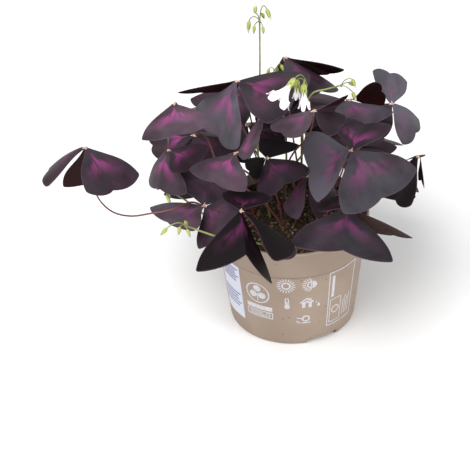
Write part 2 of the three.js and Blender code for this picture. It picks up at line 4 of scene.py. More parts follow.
import bpy
import numpy as np
from mathutils import Matrix, Vector, noise


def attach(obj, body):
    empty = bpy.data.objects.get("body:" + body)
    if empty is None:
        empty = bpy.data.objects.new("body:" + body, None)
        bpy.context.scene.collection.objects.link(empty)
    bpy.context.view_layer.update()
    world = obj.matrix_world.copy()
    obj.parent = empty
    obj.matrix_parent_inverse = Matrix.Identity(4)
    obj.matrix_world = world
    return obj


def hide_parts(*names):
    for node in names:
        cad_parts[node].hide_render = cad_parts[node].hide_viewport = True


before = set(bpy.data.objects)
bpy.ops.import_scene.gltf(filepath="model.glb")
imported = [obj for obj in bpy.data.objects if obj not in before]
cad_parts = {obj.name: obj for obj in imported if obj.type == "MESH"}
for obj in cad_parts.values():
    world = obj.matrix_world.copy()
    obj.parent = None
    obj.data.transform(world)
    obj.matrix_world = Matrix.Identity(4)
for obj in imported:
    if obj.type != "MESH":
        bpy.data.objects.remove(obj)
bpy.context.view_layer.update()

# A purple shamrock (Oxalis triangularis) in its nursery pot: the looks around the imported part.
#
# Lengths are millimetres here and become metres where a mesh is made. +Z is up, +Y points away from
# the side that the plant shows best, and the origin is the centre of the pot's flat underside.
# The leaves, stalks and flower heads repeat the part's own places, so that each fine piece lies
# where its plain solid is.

MM = 0.001
UP = Vector((0, 0, 1))

# ---- the plant's measures, the same as the part's ----

POT_HEIGHT = 93.7
POT_TOP_RADIUS = 60.0
POT_BASE_RADIUS = 49.5
POT_WALL = 1.5
POT_FLOOR = 6.5
BAND_HEIGHT = 22.5
BAND_STEP = 1.3
BAND_TAPER = 0.9  # how much wider the band is at the lip than at its foot
LIP_HEIGHT = 2.0
LIP_STEP = 0.7
INNER_CHAMFER = 3.0  # between the floor and the wall
BAND_FOOT = POT_HEIGHT - BAND_HEIGHT
RECESS = {"count": 2, "first_azimuth": -64.5, "arc": 30.0, "height": 4.6, "depth": 7.0}
DRAIN = {"count": 6, "ring_radius": 28.0, "radius": 4.0}
CLEAR = 1.0  # how far a cutting body reaches past the face that it cuts
SOIL_EDGE_HEIGHT = 85.0
SOIL_CROWN_RISE = 3.0
GAP = 0.35  # between neighbouring solids

CAD_BLADE_THICKNESS = 0.7
HUB_RADIUS = 1.8
LOBE_ANGLE = 44.0  # from the midrib to a lobe, degrees
BASE_ANGLE = 57.0  # the same at the hub
TAPER_POWER = 1.2  # how the width goes over from that at the hub to that at the lobes
BULGE = 6.0  # how much wider it is than that partway out, degrees
BULGE_POWER = 1.5
NOTCH = 0.82  # length of the midrib over the leaflet's reach
LOBE_BEND = 1.3  # how far the outer edge of each half bends from the notch to its lobe, radians
ROOM_LEFT = 4.0  # how much narrower than its room at the hub a steep leaflet is, degrees
GAP_LEFT = 3.0  # from a margin to the middle of the gap beside it, degrees
HANGING = 65.0  # a leaflet that droops more than this hangs, and is drawn in
LEAFLET_DEFAULTS = (0, 0, 0, 3, 5, 1)  # azimuth, droop, roll, fold, curl, scale

ARCH = {"rise": 0.45, "hang": 0.3, "bow_at_top": 0.7}  # a stalk's bend, as shares of its span and bow
CROWN = {"ring_radius": 2.3, "root_height": 1.0}  # where the leafstalks of a crown are rooted
CROWNS = [(-6, 12), (-27, 4), (24, 10), (20, -14), (-6, -14), (-24, -20), (-20, 30), (10, 34)]


def leaf(crown, hub, size, leaflets, bow=(0, 0, 0), via=None):
    """One leaf: its crown, hub, reach, three leaflets, and the bow or the route of its leafstalk."""
    full = [tuple(each) + LEAFLET_DEFAULTS[len(each):] for each in leaflets]
    return {"crown": crown, "hub": hub, "size": size, "leaflets": full, "bow": bow, "via": via}


LEAVES = [
    leaf(1, (-148, -40, 181), 46,
        [(-49, 36, -22, -10, 4, 0.99), (176, 19, 14, 6, 24, 0.86), (84, 72, 0, 3, 5, 1.05)],
        via=[
            (-44, -20, 108), (-60, -36, 121), (-72.5, -46, 134.5), (-79, -57, 141), (-87, -66, 143),
            (-104, -66, 140), (-119, -58, 133), (-133, -48, 131), (-143, -37, 136), (-146, -37, 155),
        ]),
    leaf(5, (-83, -30, 209), 43,
        [(-91, 12, 16, 0, 6, 0.86), (56, 72, 0, 3, 5, 0.62), (188, 75, 0, 3, 5, 0.75)],
        via=[(-44, -14, 117), (-56, -8, 146), (-61, -11, 166), (-67, -24, 180), (-75, -33, 191)]),
    leaf(1, (-72, 25, 148), 44, [(-172, 3, 7, 0, 8, 0.89), (-48, 15, 0, 3, 5, 0.8), (75, 25)]),
    leaf(0, (-38, 0, 208), 55,
        [(-147, 61, 8, -9, 8, 0.97), (-26, -1, 2, 1, 9), (148, 27, 27, -1, 6, 0.8)], bow=(-12, 0, 0)),
    leaf(7, (-1, 45, 201), 49,
        [(11, 24, -35, -3, 9, 0.96), (-46, 18, -21, 6, 6), (150, 66, 0, 3, 5, 0.8)], bow=(0, -24, -15)),
    leaf(2, (46, 30, 171), 41,
        [(-69, 6, -7, -15, 7, 0.9), (2, -18, -62, 2, 5, 0.76), (150, 66, 0, 3, 5, 0.8)],
        via=[(33, 13, 104), (39, 10, 117), (44, 14, 140)]),
    leaf(2, (80, 40, 160), 42,
        [(-28, 44, -9, 4, 7, 0.86), (89, -42, 47, -1, 1, 0.74), (210, 20, 0, 3, 5, 0.8)]),
    leaf(3, (42, -40, 170), 52,
        [(165, 35, -34, -8, 3, 0.87), (-50, 38, 16, -10, 6, 0.96), (64, -16, -5, -12, 3, 0.67)],
        via=[(25, -30, 108), (35, -37, 138)]),
    leaf(2, (96, 0, 137), 40,
        [(-141, 52, 33, -1, 1, 1.13), (10, 82, 0, 3, 5, 0.7), (115, 38, 0, 3, 5, 0.5)], bow=(0, 26, -12)),
    leaf(4, (-41, -47, 176), 41,
        [(-125, 16, -5, 0, 6, 0.86), (-23, -49, 15, -3, 3, 0.79), (138, 35, 0, 3, 5, 0.5)], bow=(-20, 0, 0)),
    leaf(4, (-18, -5, 144), 40,
        [(-64, 15, 24, 12, 5, 0.85), (62, -7, -6, -4, 5, 0.7), (196, 30, 0, 3, 5, 0.5)]),
    leaf(0, (14, -58, 215), 37,
        [(-151, 15, 18, 0, 5, 0.92), (-26, 22, -5, 0, 4, 0.7), (42, 7, -37, -15, 10, 0.73)], bow=(0, 10, 0)),
    leaf(1, (-90, -20, 164), 43,
        [(-125, 52, 20, 15, 12, 0.83), (-41, 9, 7, -18, 4, 0.7), (84, 74, 0, 3, 5, 0.5)], bow=(-10, 0, 0)),
    leaf(5, (-65, -50, 134), 40,
        [(87, -24, 32, 12, 5, 0.85), (-61, 3, 40, -10, 5, 0.93), (-144, -6, 8, -6, 8, 1.01)]),
    leaf(5, (-39, -82, 150), 55,
        [(-86, 4, -19, 42, 6), (-23, 20, -39, 20, 10), (75, -8, 0, 3, 5, 0.5)], bow=(0, -15, 0)),
    leaf(3, (38, -60, 134), 58,
        [(-98, 4, -10, 8, 5, 0.95), (4, 37, -36, -1, 5, 0.91), (125, 8, 0, 3, 5, 0.45)], bow=(10, -10, 0)),
    leaf(3, (13, 0, 123), 33,
        [(-161, 38, 28, 26, 12, 1.07), (-28, 33, -5, 15, 8, 1.04), (78, 20, 0, 3, 5, 0.45)]),
    # the far side, an upper and a lower ring
    leaf(2, (44, 40, 120), 44, [(80, 4), (200, 4, 0, 3, 5, 0.75), (320, 8, 0, 3, 5, 0.88)]),
    leaf(7, (12, 64, 152), 43, [(60, 16), (180, 8), (300, 6, 0, 3, 5, 0.85)]),
    leaf(6, (-30, 66, 162), 45, [(100, 18), (220, 4), (340, 6)]),
    leaf(6, (-66, 62, 120), 42, [(125, 20), (245, 8), (5, 4)]),
    leaf(2, (76, 34, 101), 40,
        [(20, 26, 0, 3, 5, 0.75), (140, 2, 0, 3, 5, 0.5), (262, 4, 0, 3, 5, 0.9)], bow=(0, 10, 0)),
    leaf(2, (58, 76, 108), 43, [(63, 24), (183, 8, 0, 3, 5, 0.85), (303, 6, 0, 3, 5, 0.75)]),
    leaf(7, (16, 104, 128), 44, [(75, 28), (195, 8), (315, 6)]),
    leaf(6, (-30, 106, 106), 42, [(100, 26), (220, 8), (340, 8)]),
    leaf(6, (-72, 94, 128), 40, [(130, 26), (250, 8), (10, 8)], bow=(10, 0, 0)),
    leaf(1, (-70, 38, 108), 46, [(143, 22, 0, 3, 5, 0.8), (263, 8, 0, 3, 5, 0.8), (18, 6, 0, 3, 5, 0.85)]),
]

# how much pale bloom each leaflet carries, how red it is and how strong its blotch is, 0 to about 1.
# The bloom share is partly the leaflet's real grey bloom and partly painted light: it follows how
# bright each leaflet looks, so low values paint shade on leaflets that lie in shadow and high ones
# paint sheen.
PLAIN_TONES = [(0.25, 0.7, 0.4)] * 3
# painted shade: the tones of leaflets that lie in shadow, the second one deeper
SHADED = (0.20, 0.8, 0.0)
DEEP_SHADE = (0.05, 1.0, 0.0)
LEAF_TONES = {
    1: [(0.30, 0.5, 0.7), (0.20, 1.0, 0.3), DEEP_SHADE],
    2: [(0.62, 0.6, 1.0), SHADED, SHADED],
    3: [(0.20, 0.9, 1.0), (0.25, 1.0, 0.2), DEEP_SHADE],
    4: [(0.75, 0.2, 1.0), (0.26, 0.4, 0.6), (0.10, 0.8, 0.0)],
    5: [(0.15, 0.8, 0.2), (0.35, 0.6, 0.3), SHADED],
    6: [(0.48, 0.3, 0.5), SHADED, SHADED],
    7: [(0.80, 0.1, 0.2), (0.80, 0.1, 0.2), (0.30, 0.5, 0.0)],
    8: [(1.20, 0.1, 0.8), (0.34, 0.2, 0.5), (0.20, 0.7, 0.9)],
    9: [(0.15, 0.7, 0.0), SHADED, SHADED],
    10: [(0.42, 0.8, 0.9), (0.48, 0.9, 1.0), (0.20, 0.9, 0.1)],
    11: [(0.36, 0.5, 0.6), DEEP_SHADE, (0.00, 1.0, 0.0)],
    12: [(0.42, 0.7, 0.5), (0.15, 0.7, 0.0), (0.08, 1.0, 0.0)],
    13: [(0.35, 0.8, 1.0), (0.30, 1.0, 1.0), (0.08, 1.0, 0.3)],
    14: [(0.50, 0.3, 0.2), (0.32, 0.5, 0.4), (0.56, 0.4, 0.5)],
    15: [(0.00, 0.8, 0.3), (0.00, 1.0, 0.0), (0.06, 1.0, 0.4)],
    16: [(0.22, 0.3, 0.4), DEEP_SHADE, (0.10, 0.9, 0.3)],
    17: [(0.90, 0.9, 1.0), (0.20, 0.9, 0.4), (0.10, 0.8, 0.0)],
}


def flower(top, lift, aim, length, radius, corolla=None):
    """A bud or calyx that hangs from its top along aim; corolla is (length, mouth radius)."""
    return {"top": Vector(top), "lift": lift, "aim": Vector(aim).normalized(),
            "length": length, "radius": radius, "corolla": corolla}


FLOWER_HEADS = [
    {"foot": (-16, -2), "umbel": (-20, 15, 248),
     "via": [(-22, 1, 125), (-24, 2, 142), (-23, 8, 170), (-21, 12, 205)],
     "flowers": [
        flower((-3, 1, 6), 2, (0, 0, 1), 9, 1.6),
        flower((5, -2, 11), 5, (0.35, 0, -1), 11, 1.7),
        flower((-7.5, 0, 1), 5, (-0.1, 0, -1), 11, 1.7),
        flower((-4, -4, -1), 2, (-0.1, -0.1, -1), 7, 1.4),
        flower((2, -4, -2), 2, (0.1, -0.2, -1), 6, 1.3),
        flower((2, 6, 3), 3, (0.3, 0.5, -1), 7, 1.4),
    ]},
    {"foot": (7, 9), "umbel": (10, -42, 226),
     "via": [(2, 15, 118), (10, 4, 142), (9, -9, 160), (8, -22, 177), (6, -34, 192), (9, -40, 208)],
     "flowers": [
        flower((-8, -3, 8), 5, (-0.58, -0.2, -0.73), 8, 2, (14, 10)),
        flower((-6, 3, 3), 4, (-0.05, 0, -1), 9, 1.9, (6, 3)),
        flower((-2, -4.5, 4), 4, (0.02, 0, -1), 9, 2.1, (11, 4.6)),
        flower((-1, 4, 2), 4, (0.1, 0.1, -1), 8, 1.5),
    ]},
    {"foot": (-16, -36), "umbel": (-78, -93, 147),
     "via": [(-38, -72, 117), (-50, -90, 132), (-63, -95, 141)],
     "flowers": [
        flower((-13, -2, 0), 6, (-0.5, 0, -0.6), 8, 1.6),
        flower((-4, -2, 1), 2, (-0.2, -0.2, -1), 7, 1.5),
        flower((0, 3, 2), 2, (0, 0.3, -1), 7, 1.5),
        flower((1, -4, 0), 2, (0.3, -0.3, -1), 7, 1.4),
    ]},
    {"foot": (-36, -28), "umbel": (-94, -31, 138),
     "via": [(-66, -24, 108), (-80, -25, 123)],
     "flowers": [
        flower((2, -1, 0), 3, (0.2, 0, -1), 8, 1.5),
        flower((4, 2, -2), 3, (0.4, 0.2, -1), 8, 1.5),
        flower((1, -4, -2), 3, (0.3, -0.3, -1), 11, 1.5),
    ]},
    {"foot": (8, 20), "umbel": (38, 2, 200),
     "via": [(15, 15, 125), (14, 8, 148), (10, -2, 169), (11, -4, 187), (17, -4, 198), (27, -1, 199)],
     "flowers": [
        flower((8, 0, 5), 2, (0.3, 0, -0.9), 9, 1.6),
        flower((8, -3, -4), 2, (0.3, 0, -0.9), 9, 1.6),
        flower((6, 4, 0), 2, (0.5, 0.4, -0.6), 8, 1.5),
    ]},
    {"foot": (-4, 24), "umbel": (-9, 19, 203), "bow": (6, 15, 0), "flowers": [
        flower((0, 1, 3), 3, (-0.2, 0, -1), 7, 1.5),
        flower((4, 1, 6), 3, (0.3, 0, -1), 6, 1.4),
        flower((-5, 1, 3), 3, (-0.2, 0.1, -1), 7, 1.4),
        flower((1, 4, 2), 3, (0, 0.4, -1), 7, 1.4),
    ]},
]

# ---- mesh helpers ----

SHARP_ANGLE = math.radians(42)
ZEROS = (0.0, 0.0, 0.0)


def polar(radius, angle, centre=(0, 0)):
    """The point of a plane at a distance and an angle, in radians, from a centre."""
    return centre[0] + radius * math.cos(angle), centre[1] + radius * math.sin(angle)


def turns(count):
    """The angles of equal steps round a full turn, in radians."""
    return [2 * math.pi * i / count for i in range(count)]


def sweep(start, end, steps):
    """The angles of equal steps from start to end; those are in degrees, the steps in radians."""
    return [math.radians(start + (end - start) * i / steps) for i in range(steps + 1)]


class Shape:
    """Closed bodies put together piece by piece. Every point has a mark and a tone, each of three
    numbers, which the materials read, and every face has the number of its material."""

    def __init__(self):
        self.points, self.marks, self.tones, self.faces, self.looks = [], [], [], [], []

    def add(self, points, faces, look=0, marks=None, tone=ZEROS):
        """Adds a body. Its look is one material number, or a list with one for each face."""
        first, count = len(self.points), len(points)
        self.points += [tuple(point) for point in points]
        self.marks += marks or [ZEROS] * count
        self.tones += [tone] * count
        self.faces += [tuple(first + i for i in face) for face in faces]
        self.looks += look if isinstance(look, list) else [look] * len(faces)

    def make(self, name, materials, smooth=True):
        """The Blender object, which stays at the origin: its place is in its mesh."""
        mesh = bpy.data.meshes.new(name)
        mesh.from_pydata((np.array(self.points) * MM).tolist(), [], self.faces)
        for each in materials:
            mesh.materials.append(each)
        mesh.polygons.foreach_set("material_index", self.looks)
        mesh.polygons.foreach_set("use_smooth", [smooth] * len(self.faces))
        for title, values in (("mark", self.marks), ("tone", self.tones)):
            attribute = mesh.attributes.new(title, "FLOAT_VECTOR", "POINT")
            attribute.data.foreach_set("vector", np.array(values, dtype=float).ravel())
        if smooth:
            mesh.set_sharp_from_angle(angle=SHARP_ANGLE)
        mesh.update()
        made = bpy.data.objects.new(name, mesh)
        bpy.context.scene.collection.objects.link(made)
        return made


def unit(array):
    return array / np.maximum(np.linalg.norm(array, axis=-1, keepdims=True), 1e-9)


def grid_faces(rows, columns, wrap=False):
    """Quads between neighbouring rows of points; wrap joins the last column to the first."""
    width = columns if wrap else columns + 1
    return [(row * width + c, (row + 1) * width + c,
             (row + 1) * width + (c + 1) % width, row * width + (c + 1) % width)
            for row in range(rows) for c in range(columns)]


def capped_faces(rings, sides):
    """The faces of a body of rings of points, closed by one more point at its start and its end."""
    first, last, top = rings * sides, rings * sides + 1, (rings - 1) * sides
    faces = [face[::-1] for face in grid_faces(rings - 1, sides, wrap=True)]
    faces += [(first, (i + 1) % sides, i) for i in range(sides)]
    faces += [(last, top + i, top + (i + 1) % sides) for i in range(sides)]
    return faces


def frames_along(points):
    """A side and an up direction at each point of a path, turned as little as possible."""
    tangents = unit(np.gradient(points, axis=0))
    side = np.cross(tangents[0], (0.0, 0.0, 1.0) if abs(tangents[0][2]) < 0.9 else (1.0, 0.0, 0.0))
    side = side / np.linalg.norm(side)
    sides = []
    for tangent in tangents:
        side = side - tangent * np.dot(side, tangent)
        side = side / np.linalg.norm(side)
        sides.append(side)
    sides = np.array(sides)
    return sides, np.cross(tangents, sides)


def add_tube(shape, points, radii, sides, mark=0.0):
    """A round closed tube along a path; its marks begin with how far along each point is."""
    points = np.array(points, dtype=float)
    count = len(points)
    side, up = frames_along(points)
    turn = np.arange(sides) * 2 * math.pi / sides
    ring = np.cos(turn)[None, :, None] * side[:, None, :] + np.sin(turn)[None, :, None] * up[:, None, :]
    body = points[:, None, :] + ring * np.asarray(radii, dtype=float)[:, None, None]
    marks = [(i / (count - 1), mark, 0.0) for i in range(count) for _ in range(sides)]
    marks += [(0.0, mark, 0.0), (1.0, mark, 0.0)]
    shape.add([*body.reshape(-1, 3), points[0], points[-1]], capped_faces(count, sides), 0, marks)


def add_turned(shape, start, aim, profile, sides, look=0, ribs=0, rib_depth=0.0, mark=0.0):
    """A closed body turned round aim from (radius, distance) points that begin and end on the axis."""
    turn = UP.rotation_difference(aim)
    points, marks = [], []
    for radius, reach in profile[1:-1]:
        for angle in turns(sides):
            r = radius * (1 - rib_depth * (0.5 - 0.5 * math.cos(ribs * angle)))
            points.append(start + turn @ Vector((*polar(r, angle), reach)))
            marks.append((reach / profile[-1][1], mark, angle))
    points += [start + aim * profile[0][1], start + aim * profile[-1][1]]
    marks += [(0.0, mark, 0.0), (1.0, mark, 0.0)]
    shape.add(points, capped_faces(len(profile) - 2, sides), look, marks)


def add_sheet(shape, middle, thickness, looks, marks, tone=ZEROS):
    """A thin closed body round a grid of points; looks are those of its top, underside and edge."""
    rows, columns = middle.shape[0] - 1, middle.shape[1] - 1
    normal = unit(np.cross(np.gradient(middle, axis=0), np.gradient(middle, axis=1)))
    top = (middle + normal * thickness / 2).reshape(-1, 3)
    bottom = (middle - normal * thickness / 2).reshape(-1, 3)
    count, width = len(top), columns + 1
    upper = grid_faces(rows, columns)
    under = [tuple(i + count for i in face[::-1]) for face in upper]
    rim = [row * width for row in range(rows)]
    rim += [rows * width + column for column in range(columns)]
    rim += [row * width + columns for row in range(rows, 0, -1)]
    rim += list(range(columns, 0, -1))
    wall = [(p, p + count, q + count, q) for p, q in zip(rim, rim[1:] + rim[:1])]
    numbers = [number for number, faces in zip(looks, (upper, under, wall)) for _ in faces]
    shape.add([*top, *bottom], upper + under + wall, numbers, marks * 2, tone)


# ---- curves ----


def bezier(points, count):
    """Points along a cubic curve with four control points."""
    a, b, c, d = [np.array(point, dtype=float) for point in points]
    t = np.linspace(0, 1, count)[:, None]
    return (1 - t) ** 3 * a + 3 * (1 - t) ** 2 * t * b + 3 * (1 - t) * t**2 * c + t**3 * d


def through(points, count):
    """Points along a centripetal Catmull-Rom curve through the given ones."""
    knots = [np.array(point, dtype=float) for point in points]
    knots = [2 * knots[0] - knots[1]] + knots + [2 * knots[-1] - knots[-2]]
    path = []
    for place in np.linspace(0, len(points) - 1, count):
        i = min(int(place), len(points) - 2)
        p = knots[i:i + 4]
        gaps = [max(np.linalg.norm(p[k + 1] - p[k]) ** 0.5, 1e-4) for k in range(3)]
        start = (p[1] - p[0]) / gaps[0] - (p[2] - p[0]) / (gaps[0] + gaps[1]) + (p[2] - p[1]) / gaps[1]
        end = (p[2] - p[1]) / gaps[1] - (p[3] - p[1]) / (gaps[1] + gaps[2]) + (p[3] - p[2]) / gaps[2]
        start, end = start * gaps[1], end * gaps[1]
        t = place - i
        path.append((2 * t**3 - 3 * t**2 + 1) * p[1] + (t**3 - 2 * t**2 + t) * start
                    + (3 * t**2 - 2 * t**3) * p[2] + (t**3 - t**2) * end)
    return np.array(path)


def stalk_path(root, tip, bow, via, count):
    """The same route as the part's stalk: by way of chosen points, or up and out in one bow."""
    if via:
        return through([root, *via, tip], count)
    root, tip, bow = [np.array(each, dtype=float) for each in (root, tip, bow)]
    span = np.linalg.norm(tip - root)
    low = root + (0, 0, span * ARCH["rise"]) + bow
    high = tip - (0, 0, span * ARCH["hang"]) + bow * ARCH["bow_at_top"]
    return bezier([root, low, high, tip], count)


# ---- node materials ----


class Look:
    """A node material under construction, with short calls for the few node kinds used here."""

    def __init__(self, name, **settings):
        self.material = bpy.data.materials.new(name)
        self.material.use_nodes = True
        self.tree = self.material.node_tree
        self.shader = self.tree.nodes["Principled BSDF"]
        for key, value in settings.items():
            self.shader.inputs[key.replace("_", " ")].default_value = value

    def node(self, kind, inputs=None, **settings):
        made = self.tree.nodes.new(kind)
        for key, value in settings.items():
            setattr(made, key, value)
        for key, value in (inputs or {}).items():
            self.feed(made.inputs[key], value)
        return made

    def feed(self, socket, value):
        if isinstance(value, bpy.types.NodeSocket):
            self.tree.links.new(value, socket)
        else:
            socket.default_value = value

    def read(self, title):
        """The three numbers that the mesh keeps at every point under a title."""
        attribute = self.node("ShaderNodeAttribute", attribute_name=title)
        return self.node("ShaderNodeSeparateXYZ", {0: attribute.outputs["Vector"]}).outputs

    def place(self):
        return self.node("ShaderNodeTexCoord").outputs["Object"]

    def math(self, operation, *values):
        return self.node("ShaderNodeMath", dict(enumerate(values)), operation=operation).outputs[0]

    def times(self, *factors):
        product = factors[0]
        for factor in factors[1:]:
            product = self.math("MULTIPLY", product, factor)
        return product

    def plus(self, first, second):
        return self.math("ADD", first, second)

    def line(self, value, slope, base):
        return self.plus(self.times(value, slope), base)

    def swing(self, share, width):
        """A share from 0 to 1 as a swing of half the width to either side of zero."""
        return self.times(self.math("SUBTRACT", share, 0.5), width)

    def vector(self, x, y, z):
        return self.node("ShaderNodeCombineXYZ", {0: x, 1: y, 2: z}).outputs[0]

    def noise(self, scale, detail=2.0, roughness=0.5, where=None):
        """Soft noise from 0 to 1, in the object's own place unless another is given."""
        inputs = {"Vector": where or self.place(), "Scale": scale, "Detail": detail, "Roughness": roughness}
        return self.node("ShaderNodeTexNoise", inputs).outputs["Fac"]

    def ramp(self, value, stops):
        """Colours between places from 0 to 1."""
        made = self.node("ShaderNodeValToRGB", {0: value})
        elements = made.color_ramp.elements
        while len(elements) < len(stops):
            elements.new(0.5)
        for element, (position, colour) in zip(elements, stops):
            element.position = position
            element.color = (*colour, 1.0)
        return made.outputs["Color"]

    def step(self, value, start, end):
        """0 at start and before it, 1 at end and past it, smooth between; end may be the lower one."""
        inputs = dict(enumerate((value, start, end, 0.0, 1.0)))
        made = self.node("ShaderNodeMapRange", inputs, interpolation_type="SMOOTHSTEP", clamp=True)
        return made.outputs[0]

    def mix(self, share, first, second):
        made = self.node("ShaderNodeMix", data_type="RGBA")
        for index, value in ((0, share), (6, first), (7, second)):
            self.feed(made.inputs[index], (*value, 1.0) if isinstance(value, tuple) else value)
        return made.outputs[2]

    def stain(self, ground, share, strength, colour):
        """The ground with a colour laid over it, by a share times a strength."""
        return self.mix(self.times(share, strength), ground, colour)

    def done(self, colour, roughness, relief=None):
        """The material, with its colour, with roughness as (value, slope, base) of a line and with
        relief as (height, strength, distance in mm) of a bump."""
        self.feed(self.shader.inputs["Base Color"], colour)
        self.feed(self.shader.inputs["Roughness"], self.line(*roughness))
        if relief:
            height, strength, distance = relief
            inputs = {"Height": height, "Strength": strength, "Distance": distance * MM}
            self.feed(self.shader.inputs["Normal"], self.node("ShaderNodeBump", inputs).outputs[0])
        return self.material


LEAF_DARK = (0.004, 0.002, 0.003)
LEAF_SLATE = (0.088, 0.080, 0.100)
LEAF_PLUM = (0.108, 0.056, 0.084)
LEAF_BLOTCH = (0.300, 0.045, 0.200)
LEAF_UNDER = (0.020, 0.004, 0.004)
LEAF_UNDER_DARK = (0.006, 0.002, 0.002)
LEAF_UNDER_VEIN = (0.040, 0.007, 0.008)

POT_DARK = (0.262, 0.196, 0.150)
POT_PALE = (0.306, 0.236, 0.184)
POT_SPECK = (0.120, 0.080, 0.060)
# painted shadow: the colour of the dark line under the band
POT_UNDER_BAND_SHADOW = (0.110, 0.078, 0.056)
# painted highlight: the paler colour of the lip
POT_LIP_HIGHLIGHT = (0.430, 0.350, 0.290)
# painted shade: the colour that darkens the band a little
POT_BAND_SHADE = (0.150, 0.110, 0.082)

FIVE = 5  # sepals, petals and the ribs of a bud come in fives


def veins(look, t, s, seed):
    """Fine veins that fan out from the hub, as heights from 0 to 1."""
    fan = look.vector(t, look.times(s, 0.12), seed)
    inputs = {"Vector": fan, "Scale": 5.5, "Distortion": 2.2, "Detail": 2.0, "Detail Scale": 1.6}
    return look.node("ShaderNodeTexWave", inputs, wave_type="BANDS", bands_direction="X").outputs["Fac"]


def leaf_blotch(look, t, s, seed):
    """A soft V with its point towards the hub, strongest along the midrib, from 0 to 1."""
    width = look.math("ABSOLUTE", t)
    cloud = look.noise(1.6, 3.0, where=look.vector(look.times(t, 3.0), look.times(s, 2.0), seed))
    ahead = look.math("SUBTRACT", s, look.line(width, 0.34, 0.18))
    ahead = look.plus(ahead, look.swing(cloud, 0.22))
    wings = look.times(look.step(ahead, -0.05, 0.09), look.step(ahead, 0.46, 0.04),
                       look.step(width, 0.95, 0.15), look.step(cloud, 0.28, 0.58))
    reach = look.times(look.step(s, 0.62, 0.30), look.step(s, 0.06, 0.24))
    midrib = look.times(look.step(look.times(width, s), 0.040, 0.004), reach)
    return look.math("MAXIMUM", wings, look.times(midrib, 0.75))


def leaf_top_look():
    """Nearly black under a grey or plum bloom, with fine veins, a magenta blotch and a paler edge; the bloom
    also carries each leaflet's painted light and shade.
    """
    look = Look("leaf_upper_side", IOR=1.45, Specular_IOR_Level=0.16)
    t, s, seed = look.read("mark")
    bloom_and_shade, warmth, strength = look.read("tone")
    cloud = look.noise(48.0, 3.0)
    grain = look.noise(900.0)
    rib = veins(look, t, s, seed)
    warmer = look.plus(warmth, look.swing(look.noise(26.0), 2.2))
    pale = look.mix(look.math("MINIMUM", look.math("MAXIMUM", warmer, 0.0), 1.0), LEAF_SLATE, LEAF_PLUM)
    # the bloom share also paints each leaflet's light and shade: darker for shaded leaflets, paler for those
    # with sheen
    share = look.times(bloom_and_shade, look.line(cloud, 2.4, -0.2), look.line(rib, 0.22, 0.89))
    blotch = look.times(leaf_blotch(look, t, s, seed), strength)
    ground = look.stain(look.mix(share, LEAF_DARK, pale), blotch, 0.85, LEAF_BLOTCH)
    sides = look.step(look.math("ABSOLUTE", t), 0.955, 0.995)
    margin = look.math("MAXIMUM", sides, look.step(s, 0.975, 0.998))
    ground = look.stain(ground, margin, 0.30, LEAF_PLUM)
    height = look.plus(look.times(rib, 0.5), look.times(grain, 0.25))
    return look.done(ground, (grain, 0.12, 0.42), (height, 0.30, 0.25))


def leaf_under_look():
    """Wine red to nearly black, with paler veins."""
    look = Look("leaf_underside", IOR=1.45, Specular_IOR_Level=0.08)
    t, s, seed = look.read("mark")
    rib = veins(look, t, s, seed)
    cloud = look.noise(60.0, 3.0)
    ground = look.mix(look.step(cloud, 0.34, 0.66), LEAF_UNDER_DARK, LEAF_UNDER)
    ground = look.stain(ground, look.step(s, 0.9, 0.1), 0.3, LEAF_UNDER_VEIN)
    ground = look.stain(ground, rib, 0.2, LEAF_UNDER_VEIN)
    return look.done(ground, (cloud, 0.15, 0.45), (rib, 0.3, 0.2))


def plain_look(name, dark, pale, scale, least, most, bump=0.2, distance=0.1):
    """Two close colours in soft clouds, with roughness from least to most and a little relief."""
    look = Look(name)
    cloud = look.noise(scale, 3.0)
    ground = look.mix(look.step(cloud, 0.35, 0.65), dark, pale)
    return look.done(ground, (cloud, most - least, least), (cloud, bump, distance))


def leafstalk_look():
    """Reddish brown, redder and paler up towards the leaf."""
    look = Look("leafstalk_skin")
    along, _, _ = look.read("mark")
    streak = look.noise(320.0)
    ground = look.ramp(along, [(0.0, (0.190, 0.062, 0.060)), (0.35, (0.150, 0.030, 0.026)),
                               (0.9, (0.120, 0.030, 0.030)), (1.0, (0.260, 0.110, 0.090))])
    ground = look.stain(ground, streak, 0.4, (0.070, 0.018, 0.014))
    return look.done(ground, (streak, 0.2, 0.35), (streak, 0.2, 0.1))


def bud_look():
    """A yellow-green bud or calyx; where the mark says so, its point shows the petals' pink white."""
    look = Look("bud_skin", Subsurface_Weight=0.08, Subsurface_Scale=0.0012)
    along, petal, angle = look.read("mark")
    rib = look.math("SINE", look.times(angle, FIVE))
    ground = look.ramp(along, [(0.0, (0.280, 0.310, 0.070)), (0.5, (0.380, 0.430, 0.120)),
                               (1.0, (0.220, 0.260, 0.080))])
    ground = look.stain(ground, look.step(rib, 0.2, 1.0), 0.35, (0.130, 0.150, 0.040))
    ground = look.stain(ground, look.step(along, 0.55, 0.72), petal, (0.760, 0.560, 0.600))
    return look.done(ground, (rib, 0.05, 0.42), (rib, 0.25, 0.15))


def petal_look():
    """White, pinker and veined along the petals, green-yellow deep in the throat."""
    look = Look("petal_skin", Subsurface_Weight=0.15, Subsurface_Scale=0.002)
    along, turn, _ = look.read("mark")
    streak = look.math("SINE", look.times(turn, 45.0))
    ground = look.ramp(along, [(0.0, (0.620, 0.700, 0.300)), (0.25, (0.860, 0.820, 0.780)),
                               (0.7, (0.900, 0.840, 0.870)), (1.0, (0.920, 0.860, 0.890))])
    ground = look.stain(ground, look.step(streak, 0.7, 1.0), 0.35, (0.800, 0.560, 0.700))
    return look.done(ground, (along, 0.1, 0.42), (streak, 0.15, 0.08))


